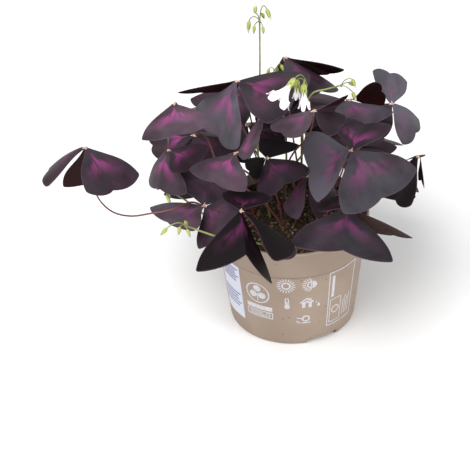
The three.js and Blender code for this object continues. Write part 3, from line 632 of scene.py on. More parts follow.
def pot_look():
    """Matte greige recycled plastic with flow clouds and sparse dark specks, a painted shadow line
    under the band, a little painted shade on the band, and a painted highlight along the lip."""
    look = Look("pot_plastic", Specular_IOR_Level=0.35)
    place = look.place()
    fine = look.noise(1500.0)
    specks = look.node("ShaderNodeTexVoronoi", {"Vector": place, "Scale": 210.0, "Randomness": 1.0})
    chosen = look.node("ShaderNodeSeparateColor", {0: specks.outputs["Color"]}).outputs[0]
    speck = look.times(look.step(specks.outputs["Distance"], 0.22, 0.10), look.step(chosen, 0.84, 0.90))
    height = look.node("ShaderNodeSeparateXYZ", {0: place}).outputs[2]
    # painted shadow: a dark line on the wall just under the band's overhang
    below_band = look.step(height, (BAND_FOOT - 3.2) * MM, (BAND_FOOT - 1.0) * MM)
    on_band = look.step(height, (BAND_FOOT + 0.1) * MM, (BAND_FOOT + 0.3) * MM)
    under_band_shadow = look.times(below_band, look.math("SUBTRACT", 1.0, on_band))
    # painted highlight: a paler top edge, where the lip's rounding catches the light
    lip = look.step(height, (POT_HEIGHT - 1.6) * MM, (POT_HEIGHT - 0.9) * MM)
    ground = look.mix(look.step(look.noise(22.0, 3.0), 0.3, 0.7), POT_DARK, POT_PALE)
    ground = look.stain(ground, speck, 0.6, POT_SPECK)
    ground = look.stain(ground, under_band_shadow, 0.45, POT_UNDER_BAND_SHADOW)
    ground = look.stain(ground, lip, 0.5, POT_LIP_HIGHLIGHT)
    # painted shade: the band a little darker, as if in the leaves' shadow
    ground = look.stain(ground, on_band, 0.12, POT_BAND_SHADE)
    return look.done(ground, (fine, 0.14, 0.48), (fine, 0.18, 0.12))


def soil_look():
    """Damp dark mix with browner crumbs."""
    look = Look("soil_mix")
    crumb = look.noise(420.0, 4.0, 0.65)
    ground = look.ramp(crumb, [(0.30, (0.012, 0.007, 0.004)), (0.52, (0.042, 0.024, 0.012)),
                               (0.70, (0.100, 0.055, 0.024))])
    cloud = look.step(look.noise(90.0, 3.0), 0.5, 0.75)
    ground = look.mix(cloud, ground, (0.060, 0.050, 0.020))
    return look.done(ground, (crumb, 0.2, 0.75), (crumb, 0.8, 1.2))


def crumb_look():
    """Bits in the soil: each has its own colour, from its mark."""
    look = Look("soil_crumbs")
    _, tint, _ = look.read("mark")
    grain = look.noise(800.0, 3.0)
    ground = look.ramp(tint, [(0.0, (0.018, 0.010, 0.005)), (0.45, (0.065, 0.032, 0.013)),
                              (0.75, (0.160, 0.075, 0.025)), (0.88, (0.120, 0.125, 0.040)),
                              (0.95, (0.520, 0.460, 0.330))])
    ground = look.stain(ground, grain, 0.45, (0.020, 0.012, 0.008))
    return look.done(ground, (grain, 0.2, 0.7), (grain, 0.5, 0.4))


def floor_look():
    """Pale paper, a little greyer in its grain."""
    look = Look("floor_paper")
    grain = look.noise(300.0)
    ground = look.stain((0.86, 0.86, 0.86), grain, 0.1, (0.80, 0.80, 0.80))
    return look.done(ground, (grain, 0.05, 0.8))


# ---- leaves ----

LEAF_SEED = 100
BLADE_THICKNESS = 0.3  # finer than the part's
LEAFLET_ROWS = 18
LEAFLET_COLUMNS = 24
CORNER_ROUNDING = 0.06  # how much the lobes' outer corners are drawn in
CORNER_SPAN = 0.085  # over how much of each half's width
DOME = 0.0011  # drop of the halves with the square of the distance from the midrib, 1/mm
WAVE = 0.55  # height of the slow waves towards the edge, mm
WAVE_PHASES = (0, 6.28)
WAVE_PACES = (2.2, 3.6)
VEIN_SEEDS = (0, 9)
BLADE_LOOKS = (0, 1, 2)  # upper side, underside and edge
JOINT_LOOK = 3
HUB_KNOB = [(0.0, -1.0), (0.7, -0.8), (1.05, -0.1), (0.8, 0.6), (0.0, 0.95)]
JOINT = [(0.0, 0.0), (0.45, 0.3), (0.60, 1.1), (0.50, 2.0), (0.28, 2.6), (0.0, 2.8)]
JOINT_HEIGHT = 0.25
JOINT_DROOP = 0.6  # how much a joint droops, as a share of its leaflet's droop


def leaflet_axes(azimuth, droop, roll):
    """Outward and sideways on the level, then along, across and away from the leaflet's face."""
    a, d, r = math.radians(azimuth), math.radians(droop), math.radians(roll)
    out = np.array((*polar(1, a), 0.0))
    side = np.array((-math.sin(a), math.cos(a), 0.0))
    up = np.array(UP)
    along = out * math.cos(d) - up * math.sin(d)
    upward = out * math.sin(d) + up * math.cos(d)
    across = side * math.cos(r) + upward * math.sin(r)
    normal = upward * math.cos(r) - side * math.sin(r)
    return out, side, along, across, normal


def margin_angles(droop, gap):
    """The width of one half of a leaflet in degrees, at the hub and at the lobe."""
    room = math.degrees(math.atan(math.sqrt(3) * math.cos(math.radians(droop))))
    return min(BASE_ANGLE, room - ROOM_LEFT, gap / 2 - GAP_LEFT), min(LOBE_ANGLE, room)


def gaps_beside(azimuth, others):
    """The angles from a leaflet to the next of the others, clockwise and anticlockwise."""
    around = [(other - azimuth) % 360 for other in others]
    return 360 - max(around, default=0), min(around, default=360)


def leaflet_margins(leaflet, leaflets):
    """Both halves' widths. A leaflet that hangs has no neighbours beside it."""
    if leaflet[1] > HANGING:
        return [margin_angles(leaflet[1], 360)] * 2
    spreading = [other for other in leaflets if other[1] <= HANGING]
    mean_droop = sum(other[1] for other in spreading) / len(spreading)
    others = [other[0] for other in spreading if other is not leaflet]
    return [margin_angles(mean_droop, gap) for gap in gaps_beside(leaflet[0], others)]


def leaflet_outline(t):
    """How far each column reaches, as a share of the leaflet's size, notched and with round corners."""
    width = np.abs(t)
    reach = NOTCH + (1 - NOTCH) * np.sin(LOBE_BEND * width) / math.sin(LOBE_BEND)
    corner = np.maximum(0, 1 - (1 - width) / CORNER_SPAN)
    return reach * (1 - CORNER_ROUNDING * (1 - np.sqrt(1 - corner**2)))


def leaflet_surface(size, leaflet, margins, rng):
    """The middle surface of one leaflet from the hub, as a grid of rows from hub to edge, and the
    marks of its points: across from -1 to 1, outward from 0 to 1, and the seed of its veins."""
    azimuth, droop, roll, fold, curl, scale = leaflet
    size = size * scale
    out, side, along, across, normal = leaflet_axes(azimuth, droop, roll)
    t = np.sin(np.linspace(-math.pi / 2, math.pi / 2, LEAFLET_COLUMNS + 1))[None, :]
    s = np.linspace(0, 1, LEAFLET_ROWS + 1)[:, None]
    base, lobe = (np.where(t > 0, ccw, cw) for cw, ccw in zip(*margins))
    taper = lobe + (base - lobe) * (1 - s) ** TAPER_POWER
    angle = np.radians(t * (taper + BULGE * np.sin(math.pi * s**BULGE_POWER)))
    r = s * (leaflet_outline(t) * size - HUB_RADIUS)
    half = r * np.sin(angle)
    fold = math.radians(fold)
    drop = np.abs(half) * math.sin(fold) + math.radians(curl) / 2 * size * s**2
    drop = drop + DOME * half**2
    phase, pace, seed = (rng.uniform(*each) for each in (WAVE_PHASES, WAVE_PACES, VEIN_SEEDS))
    drop = drop + WAVE * s**2 * np.abs(t) * np.sin(pace * t * 2 + phase + 2 * s)
    terms = ((HUB_RADIUS * np.cos(angle), out), (HUB_RADIUS * np.sin(angle), side),
             (r * np.cos(angle), along), (half * math.cos(fold), across), (-drop, normal))
    points = sum(amount[..., None] * direction for amount, direction in terms)
    return points, [(ti, si, seed) for si in s.ravel() for ti in t.ravel()]


def add_hub(shape, hub, leaflets):
    """Three short pale joints, which the leaflets turn on, round a small knob."""
    add_turned(shape, Vector(hub), UP, HUB_KNOB, 10, JOINT_LOOK)
    for azimuth, droop, *_ in leaflets:
        a, d = math.radians(azimuth), math.radians(droop * JOINT_DROOP)
        aim = Vector((*polar(math.cos(d), a), -math.sin(d)))
        add_turned(shape, Vector(hub) + UP * JOINT_HEIGHT, aim, JOINT, 8, JOINT_LOOK)


def dress(piece, node):
    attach(piece, "root")
    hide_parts(node)


def make_leaf(number, each, looks):
    rng = random.Random(LEAF_SEED + number)
    shape = Shape()
    for leaflet, tone in zip(each["leaflets"], LEAF_TONES.get(number, PLAIN_TONES)):
        margins = leaflet_margins(leaflet, each["leaflets"])
        points, marks = leaflet_surface(each["size"], leaflet, margins, rng)
        blade = points + np.array(each["hub"], dtype=float)
        add_sheet(shape, blade, BLADE_THICKNESS, BLADE_LOOKS, marks, tone)
    add_hub(shape, each["hub"], each["leaflets"])
    dress(shape.make(f"fine_leaf_{number:02d}", looks), f"leaf_{number:02d}")


def make_leaves():
    looks = [
        leaf_top_look(),
        leaf_under_look(),
        plain_look("leaf_edge", (0.045, 0.022, 0.032), (0.080, 0.045, 0.060), 300.0, 0.4, 0.5),
        plain_look("leaf_joint", (0.420, 0.240, 0.190), (0.560, 0.380, 0.280), 500.0, 0.4, 0.5),
    ]
    for number, each in enumerate(LEAVES, 1):
        make_leaf(number, each, looks)


# ---- leafstalks ----

TUFT_SEED = 400
STALK_BASE_RADIUS = 0.85
STALK_TIP_RADIUS = 0.55
STALK_TAPER_POWER = 0.7
SWELLING = {"size": 0.22, "start": 0.965, "span": 0.035}  # of the stalk under the hub, shares of its length
BOW_STEPS = 28
WINDING_STEPS = 44
SCALES_PER_CROWN = 7
SCALE_PROFILE = [(0.0, 0.0), (1.0, 1.4), (1.05, 3.0), (0.6, 4.6), (0.0, 5.4)]  # share of its size, height
SCALE_DEPTH = 2.5
SCALE_LEAN = 0.35
MIDDLE_SCALE_OUT = 0.4
BULB_LOOK = 1


def wall_radius(z):
    at_band = POT_TOP_RADIUS - LIP_STEP - BAND_STEP - BAND_TAPER
    return POT_BASE_RADIUS + (at_band - POT_BASE_RADIUS) * z / BAND_FOOT


def inner_radius(z):
    return wall_radius(z) - POT_WALL


def soil_height(x, y):
    out = math.hypot(x, y) / (inner_radius(SOIL_EDGE_HEIGHT) - GAP)
    return SOIL_EDGE_HEIGHT + SOIL_CROWN_RISE * (1 - out * out)


def leafstalk_path(each):
    x, y = CROWNS[each["crown"]]
    hub_x, hub_y, hub_z = each["hub"]
    toward = math.atan2(hub_y - y, hub_x - x)
    root = (*polar(CROWN["ring_radius"], toward, (x, y)), soil_height(x, y) + CROWN["root_height"])
    tip = (hub_x, hub_y, hub_z - CAD_BLADE_THICKNESS / 2 - GAP)
    return stalk_path(root, tip, each["bow"], each["via"], WINDING_STEPS if each["via"] else BOW_STEPS)


def add_crown_scales(shape, x, y, rng):
    """A clump of small bulb scales, half sunk in the soil."""
    for i in range(SCALES_PER_CROWN):
        angle = 2 * math.pi * (i + rng.uniform(-0.3, 0.3)) / SCALES_PER_CROWN
        out = MIDDLE_SCALE_OUT if i == 0 else rng.uniform(1.6, 2.6)
        size = rng.uniform(1.0, 1.5)
        start = Vector((*polar(out, angle, (x, y)), soil_height(x, y) - SCALE_DEPTH))
        aim = Vector((*polar(SCALE_LEAN, angle), 1)).normalized()
        profile = [(size * share, height) for share, height in SCALE_PROFILE]
        add_turned(shape, start, aim, profile, 10, BULB_LOOK, mark=rng.random())


def make_tuft(crown, looks):
    rng = random.Random(TUFT_SEED + crown)
    shape = Shape()
    for each in LEAVES:
        if each["crown"] == crown:
            path = leafstalk_path(each)
            share = np.linspace(0, 1, len(path))
            radii = STALK_BASE_RADIUS + (STALK_TIP_RADIUS - STALK_BASE_RADIUS) * share**STALK_TAPER_POWER
            swelling = np.clip((share - SWELLING["start"]) / SWELLING["span"], 0, 1)
            add_tube(shape, path, radii + SWELLING["size"] * swelling, 10, rng.random())
    add_crown_scales(shape, *CROWNS[crown], rng)
    dress(shape.make(f"fine_leafstalks_{crown + 1}", looks), f"leafstalks_{crown + 1}")


def make_leafstalks():
    bulb = plain_look("bulb_scale", (0.110, 0.045, 0.032), (0.210, 0.100, 0.070), 300.0, 0.5, 0.7, 0.4, 0.3)
    looks = [leafstalk_look(), bulb]
    for crown in range(len(CROWNS)):
        make_tuft(crown, looks)


# ---- flowers ----

FLOWER_STALK_RADIUS = 0.85
FLOWER_STALK_TIP = 0.6
FLOWER_STALK_STEPS = 40
FLOWER_STALK_DEPTH = 1.0  # how far its foot is in the soil
UMBEL_KNOB = [(0.0, -1.6), (0.8, -1.0), (1.1, 0.0), (0.7, 0.8), (0.0, 1.1)]
PEDICEL_RADIUS = 0.38
PEDICEL_STEPS = 14
PEDICEL_SPREAD = 0.2
PEDICEL_ROOT = 0.5
BUD_STEPS = 9
BUD_RIB_DEPTH = 0.16
SHOWS_PETALS = 8.5  # a bud that is longer than this shows its petals at the point
BUD_LOOK = 1


def bud_profile(length, radius):
    """Round at the top, widest a third down, and drawn out to a point."""
    shares = [i / BUD_STEPS for i in range(1, BUD_STEPS)]
    points = [(radius * math.sin(math.pi * u**0.62) ** 0.8, length * u) for u in shares]
    return [(0.0, 0.0)] + points + [(0.0, length)]


def add_calyx(shape, start, aim, length, radius):
    """Five narrow sepals that lie against the tube of the corolla."""
    turn = UP.rotation_difference(aim)
    cup = [(0.0, -0.2), (radius * 0.6, 0.1), (radius * 0.95, length * 0.3),
           (radius * 0.7, length * 0.55), (0.0, length * 0.6)]
    sepal = [(0.0, 0.0), (radius * 0.42, length * 0.2), (radius * 0.36, length * 0.6), (0.0, length * 1.05)]
    add_turned(shape, start, aim, cup, 15, BUD_LOOK)
    for angle in turns(FIVE):
        outward = turn @ Vector((*polar(1, angle), 0))
        lean = (aim + outward * 0.12).normalized()
        add_turned(shape, start + outward * radius * 0.55, lean, sepal, 8, BUD_LOOK)


def add_flower(shape, umbel, each):
    """A fine pedicel that bends over from the umbel, with a bud or a calyx on it."""
    aim, top, lift, length, radius = (each[key] for key in ("aim", "top", "lift", "length", "radius"))
    start, end = umbel - UP * PEDICEL_ROOT, umbel + top + aim
    rise = start + Vector((top.x * PEDICEL_SPREAD, top.y * PEDICEL_SPREAD, max(top.z, 0) + lift))
    pedicel = bezier([start, rise, end - aim * lift, end], PEDICEL_STEPS)
    add_tube(shape, pedicel, [PEDICEL_RADIUS] * PEDICEL_STEPS, 8)
    if each["corolla"]:
        add_calyx(shape, umbel + top, aim, length, radius)
    else:
        add_turned(shape, umbel + top, aim, bud_profile(length, radius), 20, BUD_LOOK,
                   ribs=FIVE, rib_depth=BUD_RIB_DEPTH, mark=1.0 if length > SHOWS_PETALS else 0.0)


def make_flower_stalk(number, head, looks):
    umbel = Vector(head["umbel"])
    shape = Shape()
    root = (*head["foot"], soil_height(*head["foot"]) - FLOWER_STALK_DEPTH)
    path = stalk_path(root, umbel, head.get("bow"), head.get("via"), FLOWER_STALK_STEPS)
    share = np.linspace(0, 1, len(path))
    add_tube(shape, path, FLOWER_STALK_RADIUS + (FLOWER_STALK_TIP - FLOWER_STALK_RADIUS) * share, 12)
    add_turned(shape, umbel, UP, UMBEL_KNOB, 10)
    for each in head["flowers"]:
        add_flower(shape, umbel, each)
    dress(shape.make(f"fine_flower_stalk_{number}", looks), f"flower_stalk_{number}")


COROLLA_COLUMNS = 90
COROLLA_ROWS = 16
COROLLA_THICKNESS = 0.25
COROLLA_ROOT = 0.04  # where the funnel begins, as a share of its length
THROAT = 1.3
LOBE_DEPTH = 0.34  # of the gaps between the petals
FLARE_POWER = 1.7
PETAL_WAVE = 0.05  # of the petals' middles and edges, as a share of the mouth
PETAL_TIP_BEND = 0.05
PAST_CALYX = 0.55  # how far down its calyx a corolla begins


def make_corolla(number, start, aim, size, look):
    """A funnel of five petals, joined below and free above, with rounded tips that flare."""
    length, mouth = size
    turn = np.array(UP.rotation_difference(aim).to_matrix())
    angle = np.linspace(0, 2 * math.pi, COROLLA_COLUMNS + 1)[None, :]
    s = np.linspace(COROLLA_ROOT, 1, COROLLA_ROWS + 1)[:, None]
    gap = (0.5 - 0.5 * np.cos(FIVE * angle)) ** 3
    lobe = 1 - LOBE_DEPTH * s**2 * gap
    r = THROAT + (mouth - THROAT) * s**FLARE_POWER * lobe
    r = r + PETAL_WAVE * mouth * s**3 * np.cos(2 * FIVE * angle)
    height = length * (s * lobe - PETAL_TIP_BEND * s**6)
    local = np.stack([r * np.cos(angle), r * np.sin(angle), height], axis=-1)
    marks = [(si, ti, 0.0) for si in s.ravel() for ti in angle.ravel()]
    shape = Shape()
    add_sheet(shape, local @ turn.T + np.array(start), COROLLA_THICKNESS, (0, 0, 0), marks)
    dress(shape.make(f"fine_corolla_{number}", [look]), f"corolla_{number}")


def make_flowers():
    dark, pale = (0.120, 0.140, 0.035), (0.210, 0.230, 0.070)
    looks = [plain_look("flower_stalk_skin", dark, pale, 160.0, 0.38, 0.5), bud_look()]
    petal = petal_look()
    corollas = 0
    for number, head in enumerate(FLOWER_HEADS, 1):
        make_flower_stalk(number, head, looks)
        for each in head["flowers"]:
            if each["corolla"]:
                corollas += 1
                past_calyx = each["length"] * PAST_CALYX
                start = Vector(head["umbel"]) + each["top"] + each["aim"] * past_calyx
                length, mouth = each["corolla"]
                full = length + each["length"] - past_calyx
                make_corolla(corollas, start, each["aim"], (full, mouth), petal)


# ---- soil ----

SOIL_RINGS = 56
SOIL_SEGMENTS = 128
SOIL_WAVES = [(0.9, 0.11, 3.1), (0.7, 0.42, 7.7)]  # height in mm, pace over the ground, and seed
CRUMBS = 1500
CRUMB_SEED = 71
CRUMB_MARGIN = 3.0  # the ring along the wall that has none
CRUMB_PROFILE = [(0.0, -1.0), (0.75, -0.6), (1.0, 0.0), (0.7, 0.65), (0.0, 1.0)]
PALE_CRUMB = 0.93  # the tint from which on a crumb is a pale round grain


def soil_relief(x, y):
    return sum(height * noise.noise(Vector((x * pace, y * pace, seed))) for height, pace, seed in SOIL_WAVES)


def make_soil():
    edge = inner_radius(SOIL_EDGE_HEIGHT) - GAP
    bed = inner_radius(POT_FLOOR + INNER_CHAMFER) - GAP
    points = []
    for ring in range(1, SOIL_RINGS + 1):
        for angle in turns(SOIL_SEGMENTS):
            x, y = polar(edge * ring / SOIL_RINGS, angle)
            points.append((x, y, soil_height(x, y) + soil_relief(x, y)))
    points += [(*polar(bed, angle), POT_FLOOR + INNER_CHAMFER + GAP) for angle in turns(SOIL_SEGMENTS)]
    points += [(0, 0, soil_height(0, 0)), (0, 0, POT_FLOOR + GAP)]
    shape = Shape()
    shape.add(points, [face[::-1] for face in capped_faces(SOIL_RINGS + 1, SOIL_SEGMENTS)])
    dress(shape.make("fine_soil_bed", [soil_look()]), "potting_soil")


def add_crumb(shape, x, y, rng):
    tint = rng.random()
    pale = tint > PALE_CRUMB
    size = rng.uniform(0.5, 1.0) if pale else rng.uniform(0.35, 1.35)
    stretch = 1.0 if pale else rng.uniform(0.8, 2.6)
    aim = Vector((rng.uniform(-1, 1), rng.uniform(-1, 1), rng.uniform(-0.25, 0.25))).normalized()
    wobble = [rng.uniform(0.7, 1.2) for _ in CRUMB_PROFILE]
    profile = [(r * size * w, d * size * stretch) for (r, d), w in zip(CRUMB_PROFILE, wobble)]
    centre = Vector((x, y, soil_height(x, y) + soil_relief(x, y) + size / 4))
    add_turned(shape, centre, aim, profile, 6, mark=tint)


def make_crumbs():
    """Bark bits, fibres and pale grains, strewn over the soil."""
    rng = random.Random(CRUMB_SEED)
    shape = Shape()
    edge = inner_radius(SOIL_EDGE_HEIGHT) - CRUMB_MARGIN
    for _ in range(CRUMBS):
        x, y = polar(edge * math.sqrt(rng.random()), rng.uniform(0, 2 * math.pi))
        add_crumb(shape, x, y, rng)
    piece = shape.make("soil_crumbs", [crumb_look()], smooth=False)
    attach(piece, "root")


# ---- pot ----

POT_SEGMENTS = 192
POT_SHARP_ANGLE = math.radians(32)
FOOT_ROUND = 2.5
UNDER_BAND_ROUND = 0.5
BAND_ROUND = 0.4
UNDER_LIP_ROUND = 0.3
LIP_FOOT_ROUND = 0.4
LIP_ROUND = 0.9
RIM_ROUND = 0.6
WALL_HEIGHTS = (20.0, 40.0, 60.0)
HOLD = 0.35  # from the end of a long stretch to its extra point
RECESS_STEPS = 16
RECESS_OVERREACH = 6.0  # how far a recess's cutter sticks out of the wall
DRAIN_SIDES = 32


def rounding(corner, radius, toward, start, end, steps):
    """A rounded corner of a profile; toward gives the sides of the corner that its centre lies on."""
    centre = (corner[0] + toward[0] * radius, corner[1] + toward[1] * radius)
    return [polar(radius, angle, centre) for angle in sweep(start, end, steps)]


def held(points):
    """Extra points near both ends of each long stretch, so that it is shaded flat between roundings."""
    made = [points[0]]
    for (r0, z0), (r1, z1) in zip(points, points[1:]):
        length = math.hypot(r1 - r0, z1 - z0)
        shares = (HOLD / length, 1 - HOLD / length) if length > 4 * HOLD else ()
        made += [(r0 + (r1 - r0) * share, z0 + (z1 - z0) * share) for share in shares]
        made.append((r1, z1))
    return made


def pot_profile():
    """(radius, height) points up the outside of the pot and down its inside."""
    lip_foot = POT_HEIGHT - LIP_HEIGHT
    wall_at_band = wall_radius(BAND_FOOT)
    inner_foot = inner_radius(POT_FLOOR + INNER_CHAMFER)
    points = [(POT_BASE_RADIUS - FOOT_ROUND, 0.0)]
    points += rounding((POT_BASE_RADIUS, 0.0), FOOT_ROUND, (-1, 1), -80, 0, 8)
    points += [(wall_radius(z), z) for z in WALL_HEIGHTS]
    points += rounding((wall_at_band, BAND_FOOT), UNDER_BAND_ROUND, (1, -1), 180, 90, 3)
    points += rounding((wall_at_band + BAND_STEP, BAND_FOOT), BAND_ROUND, (-1, 1), -90, 0, 4)
    points += rounding((POT_TOP_RADIUS - LIP_STEP, lip_foot), UNDER_LIP_ROUND, (1, -1), 180, 90, 3)
    points += rounding((POT_TOP_RADIUS, lip_foot), LIP_FOOT_ROUND, (-1, 1), -90, 0, 3)
    points += rounding((POT_TOP_RADIUS, POT_HEIGHT), LIP_ROUND, (-1, -1), 0, 90, 5)
    points += rounding((inner_radius(POT_HEIGHT), POT_HEIGHT), RIM_ROUND, (1, -1), 90, 180, 4)
    points += [(inner_foot, POT_FLOOR + INNER_CHAMFER), (inner_foot - INNER_CHAMFER, POT_FLOOR)]
    return [(0.0, 0.0)] + held(points) + [(0.0, POT_FLOOR)]


def turned_body(profile, segments, centre=(0.0, 0.0)):
    """Points and faces of a body turned round an upright axis; its profile begins and ends there."""
    points = [(*polar(r, angle, centre), z) for r, z in profile[1:-1] for angle in turns(segments)]
    points += [(*centre, profile[0][1]), (*centre, profile[-1][1])]
    return points, capped_faces(len(profile) - 2, segments)


def recess_block(azimuth):
    """A bent block that cuts one recess out of the foot."""
    inner, outer = POT_BASE_RADIUS - RECESS["depth"], POT_BASE_RADIUS + RECESS_OVERREACH
    low, high = -CLEAR, RECESS["height"]
    corners = ((inner, low), (outer, low), (outer, high), (inner, high))
    half = RECESS["arc"] / 2
    angles = sweep(azimuth - half, azimuth + half, RECESS_STEPS)
    points = [(*polar(r, angle), z) for angle in angles for r, z in corners]
    end = 4 * RECESS_STEPS
    faces = grid_faces(RECESS_STEPS, 4, wrap=True)
    return points, faces + [(0, 1, 2, 3), (end + 3, end + 2, end + 1, end)]


def drain_body(angle):
    """An upright cylinder that cuts one drain hole out of the floor."""
    radius, top = DRAIN["radius"], POT_FLOOR + CLEAR
    profile = [(0.0, -CLEAR), (radius, -CLEAR), (radius, top), (0.0, top)]
    return turned_body(profile, DRAIN_SIDES, polar(DRAIN["ring_radius"], angle))


def cut_away(body, cutters):
    """Takes the cutters, each of points and faces, out of a body."""
    helpers = []
    for i, cutter in enumerate(cutters):
        shape = Shape()
        shape.add(*cutter)
        helpers.append(shape.make(f"cutter_{i}", [], smooth=False))
        modifier = body.modifiers.new("cut", "BOOLEAN")
        modifier.operation = "DIFFERENCE"
        modifier.solver = "EXACT"
        modifier.object = helpers[-1]
    graph = bpy.context.evaluated_depsgraph_get()
    mesh = bpy.data.meshes.new_from_object(body.evaluated_get(graph))
    body.modifiers.clear()
    body.data = mesh
    for helper in helpers:
        bpy.data.objects.remove(helper)


def make_pot():
    shape = Shape()
    shape.add(*turned_body(pot_profile(), POT_SEGMENTS))
    piece = shape.make("fine_pot", [pot_look()], smooth=False)
    azimuths = [RECESS["first_azimuth"] + 360 * i / RECESS["count"] for i in range(RECESS["count"])]
    cutters = [recess_block(azimuth) for azimuth in azimuths]
    cut_away(piece, cutters + [drain_body(angle) for angle in turns(DRAIN["count"])])
    piece.data.polygons.foreach_set("use_smooth", [True] * len(piece.data.polygons))
    piece.data.set_sharp_from_angle(angle=POT_SHARP_ANGLE)
    dress(piece, "pot")


# ---- plain printed signs on the pot ----
#
# Each sign is drawn in millimetres to the right and up from its own middle on the wall.

INK_HEIGHT = 0.10  # how far the ink stands off the wall
INK_ROOT = 0.15  # how far it is sunk in
INK_STEP = 1.4  # longest stretch of ink that stays straight round the wall
WHITE, LINES, LABEL = 0, 1, 2


class Print:
    """Ink on the outside of the pot's wall, round a point at an azimuth and a height."""

    look, lift = WHITE, INK_HEIGHT

    def __init__(self, shape, azimuth, height):
        self.shape, self.azimuth, self.height = shape, math.radians(azimuth), height

    def on_wall(self, x, y, off):
        z = self.height + y
        angle = self.azimuth + x / wall_radius(self.height)
        return (*polar(wall_radius(z) + off, angle), z)

    def patch(self, outline):
        """One small flat patch of ink; the outline runs counter-clockwise."""
        count = len(outline)
        points = [self.on_wall(x, y, off) for off in (self.lift, -INK_ROOT) for x, y in outline]
        faces = [tuple(range(count)), tuple(range(2 * count - 1, count - 1, -1))]
        faces += [(i, i + count, (i + 1) % count + count, (i + 1) % count) for i in range(count)]
        self.shape.add(points, faces, self.look)

    def line(self, start, end, width=0.9):
        """A straight stroke with square ends."""
        (x0, y0), (x1, y1) = start, end
        length = math.hypot(x1 - x0, y1 - y0)
        dx, dy = (x1 - x0) / length, (y1 - y0) / length
        nx, ny = -dy * width / 2, dx * width / 2
        steps = max(1, math.ceil(length / INK_STEP))
        for i in range(steps):
            a, b = length * i / steps, length * (i + 1) / steps
            ax, ay, bx, by = x0 + dx * a, y0 + dy * a, x0 + dx * b, y0 + dy * b
            self.patch([(ax - nx, ay - ny), (bx - nx, by - ny), (bx + nx, by + ny), (ax + nx, ay + ny)])

    def path(self, points, width=0.9):
        for start, end in zip(points, points[1:]):
            self.line(start, end, width)

    def ring(self, centre, radius, width=0.9, start=0, end=360, steps=20):
        inner, outer = radius - width / 2, radius + width / 2
        angles = sweep(start, end, steps)
        for a, b in zip(angles, angles[1:]):
            corners = ((inner, a), (outer, a), (outer, b), (inner, b))
            self.patch([polar(r, angle, centre) for r, angle in corners])

    def disc(self, centre, radius, start=0, end=360, steps=16):
        angles = sweep(start, end, steps)
        for a, b in zip(angles, angles[1:]):
            self.patch([centre, polar(radius, a, centre), polar(radius, b, centre)])

    def block(self, low, high):
        """A filled rectangle."""
        middle = (low[1] + high[1]) / 2
        self.line((low[0], middle), (high[0], middle), high[1] - low[1])


def print_sun(ink, start=0, end=360, rays=18):
    ink.ring((0, 0), 3.0, 1.3, start, end)
    for i in range(rays):
        angle = math.radians(start + (end - start) * (i + 0.5) / rays)
        ink.line(polar(4.4, angle), polar(7.2, angle), 0.8)


def print_half_shade(ink):
    """Half a sun beside half a filled disc: partial shade."""
    print_sun(ink, 95, 265, 9)
    ink.line((0, -5.4), (0, 5.4), 0.8)
    ink.disc((0.8, 0), 3.6, -90, 90, 10)


def print_thermometer(ink):
    ink.ring((0, 3.4), 1.2, 0.8, 0, 180, 8)
    ink.line((-1.2, 3.4), (-1.2, -2.6))
    ink.line((1.2, 3.4), (1.2, -2.6))
    ink.line((0, 1.0), (0, -3.0), 1.0)
    ink.disc((0, -4.2), 2.2)


def print_house(ink):
    ink.path([(-5.2, 0.6), (0, 5.0), (5.2, 0.6)], 1.3)
    ink.block((-3.8, -4.6), (-1.3, 1.2))
    ink.block((1.3, -4.6), (3.8, 1.2))
    ink.block((-1.3, 0.2), (1.3, 2.4))
    ink.block((2.4, 2.6), (3.4, 4.8))


def print_drop(ink, x, y, size):
    ink.disc((x, y), size, 180, 360, 8)
    ink.patch([(x - size, y), (x + size, y), (x, y + size * 2.1)])


def print_drops(ink):
    print_drop(ink, 0.6, -1.6, 1.2)
    print_drop(ink, -1.2, 1.6, 0.7)


def print_watering(ink):
    """A saucer with a pot in it, and drops that fall beside it."""
    ink.ring((2.6, 1.4), 2.6, 1.3)
    ink.line((-1.0, -3.0), (6.4, -3.0), 1.0)
    ink.line((-4.6, 2.6), (-0.4, 1.6), 0.9)
    print_drop(ink, -4.2, -1.4, 0.7)
    print_drop(ink, -2.6, -2.6, 0.7)


def print_leaf_badge(ink):
    """A ring with a sprig of three round leaves in it, over two plain bars."""
    ink.ring((0, 9), 9.4, 1.0, 0, 360, 36)
    ink.line((0, 1.2), (0, 9), 0.9)
    for angle in (90, 210, 330):
        ink.disc(polar(4.2, math.radians(angle), (0, 9.5)), 3.1)
    ink.block((-10.4, -7.4), (11.4, -3.2))
    ink.path([(-10.4, -9.0), (11.4, -9.0), (11.4, -15.0), (-10.4, -15.0), (-10.4, -9.0)], 0.8)
    for i in range(3):
        ink.line((-8.4, -10.6 - 1.5 * i), (3.6 + i, -10.6 - 1.5 * i), 0.7)
    ink.ring((7.6, -12.0), 1.7, 0.8)


def print_panel(ink):
    """A pale label with plain lines in two blocks on it."""
    ink.look = LABEL
    ink.block((-13, -26), (13, 26))
    ink.look, ink.lift = LINES, 2 * INK_HEIGHT
    for i in range(11):
        y = 22 - 2.4 * i if i < 6 else 16 - 3.1 * i
        ink.block((-10.5, y - 0.7), (8.0 if i % 3 else 11.0, y + 0.7))


def print_frame(ink):
    """A tall frame with a bar, a small boxed ring and a few plain lines in it."""
    ink.path([(-14, 27), (12, 27), (12, -27), (-14, -27), (-14, 27)], 0.8)
    ink.block((-11.6, 2), (-9.2, 23))
    ink.path([(-12, -1), (-1.5, -1), (-1.5, -24), (-12, -24), (-12, -1)], 0.7)
    ink.ring((-6.8, -12), 3.4, 0.9)
    for i in range(4):
        ink.line((1.6 + 2.2 * i, -22), (1.6 + 2.2 * i, -6 + 3 * (i % 2)), 0.7)


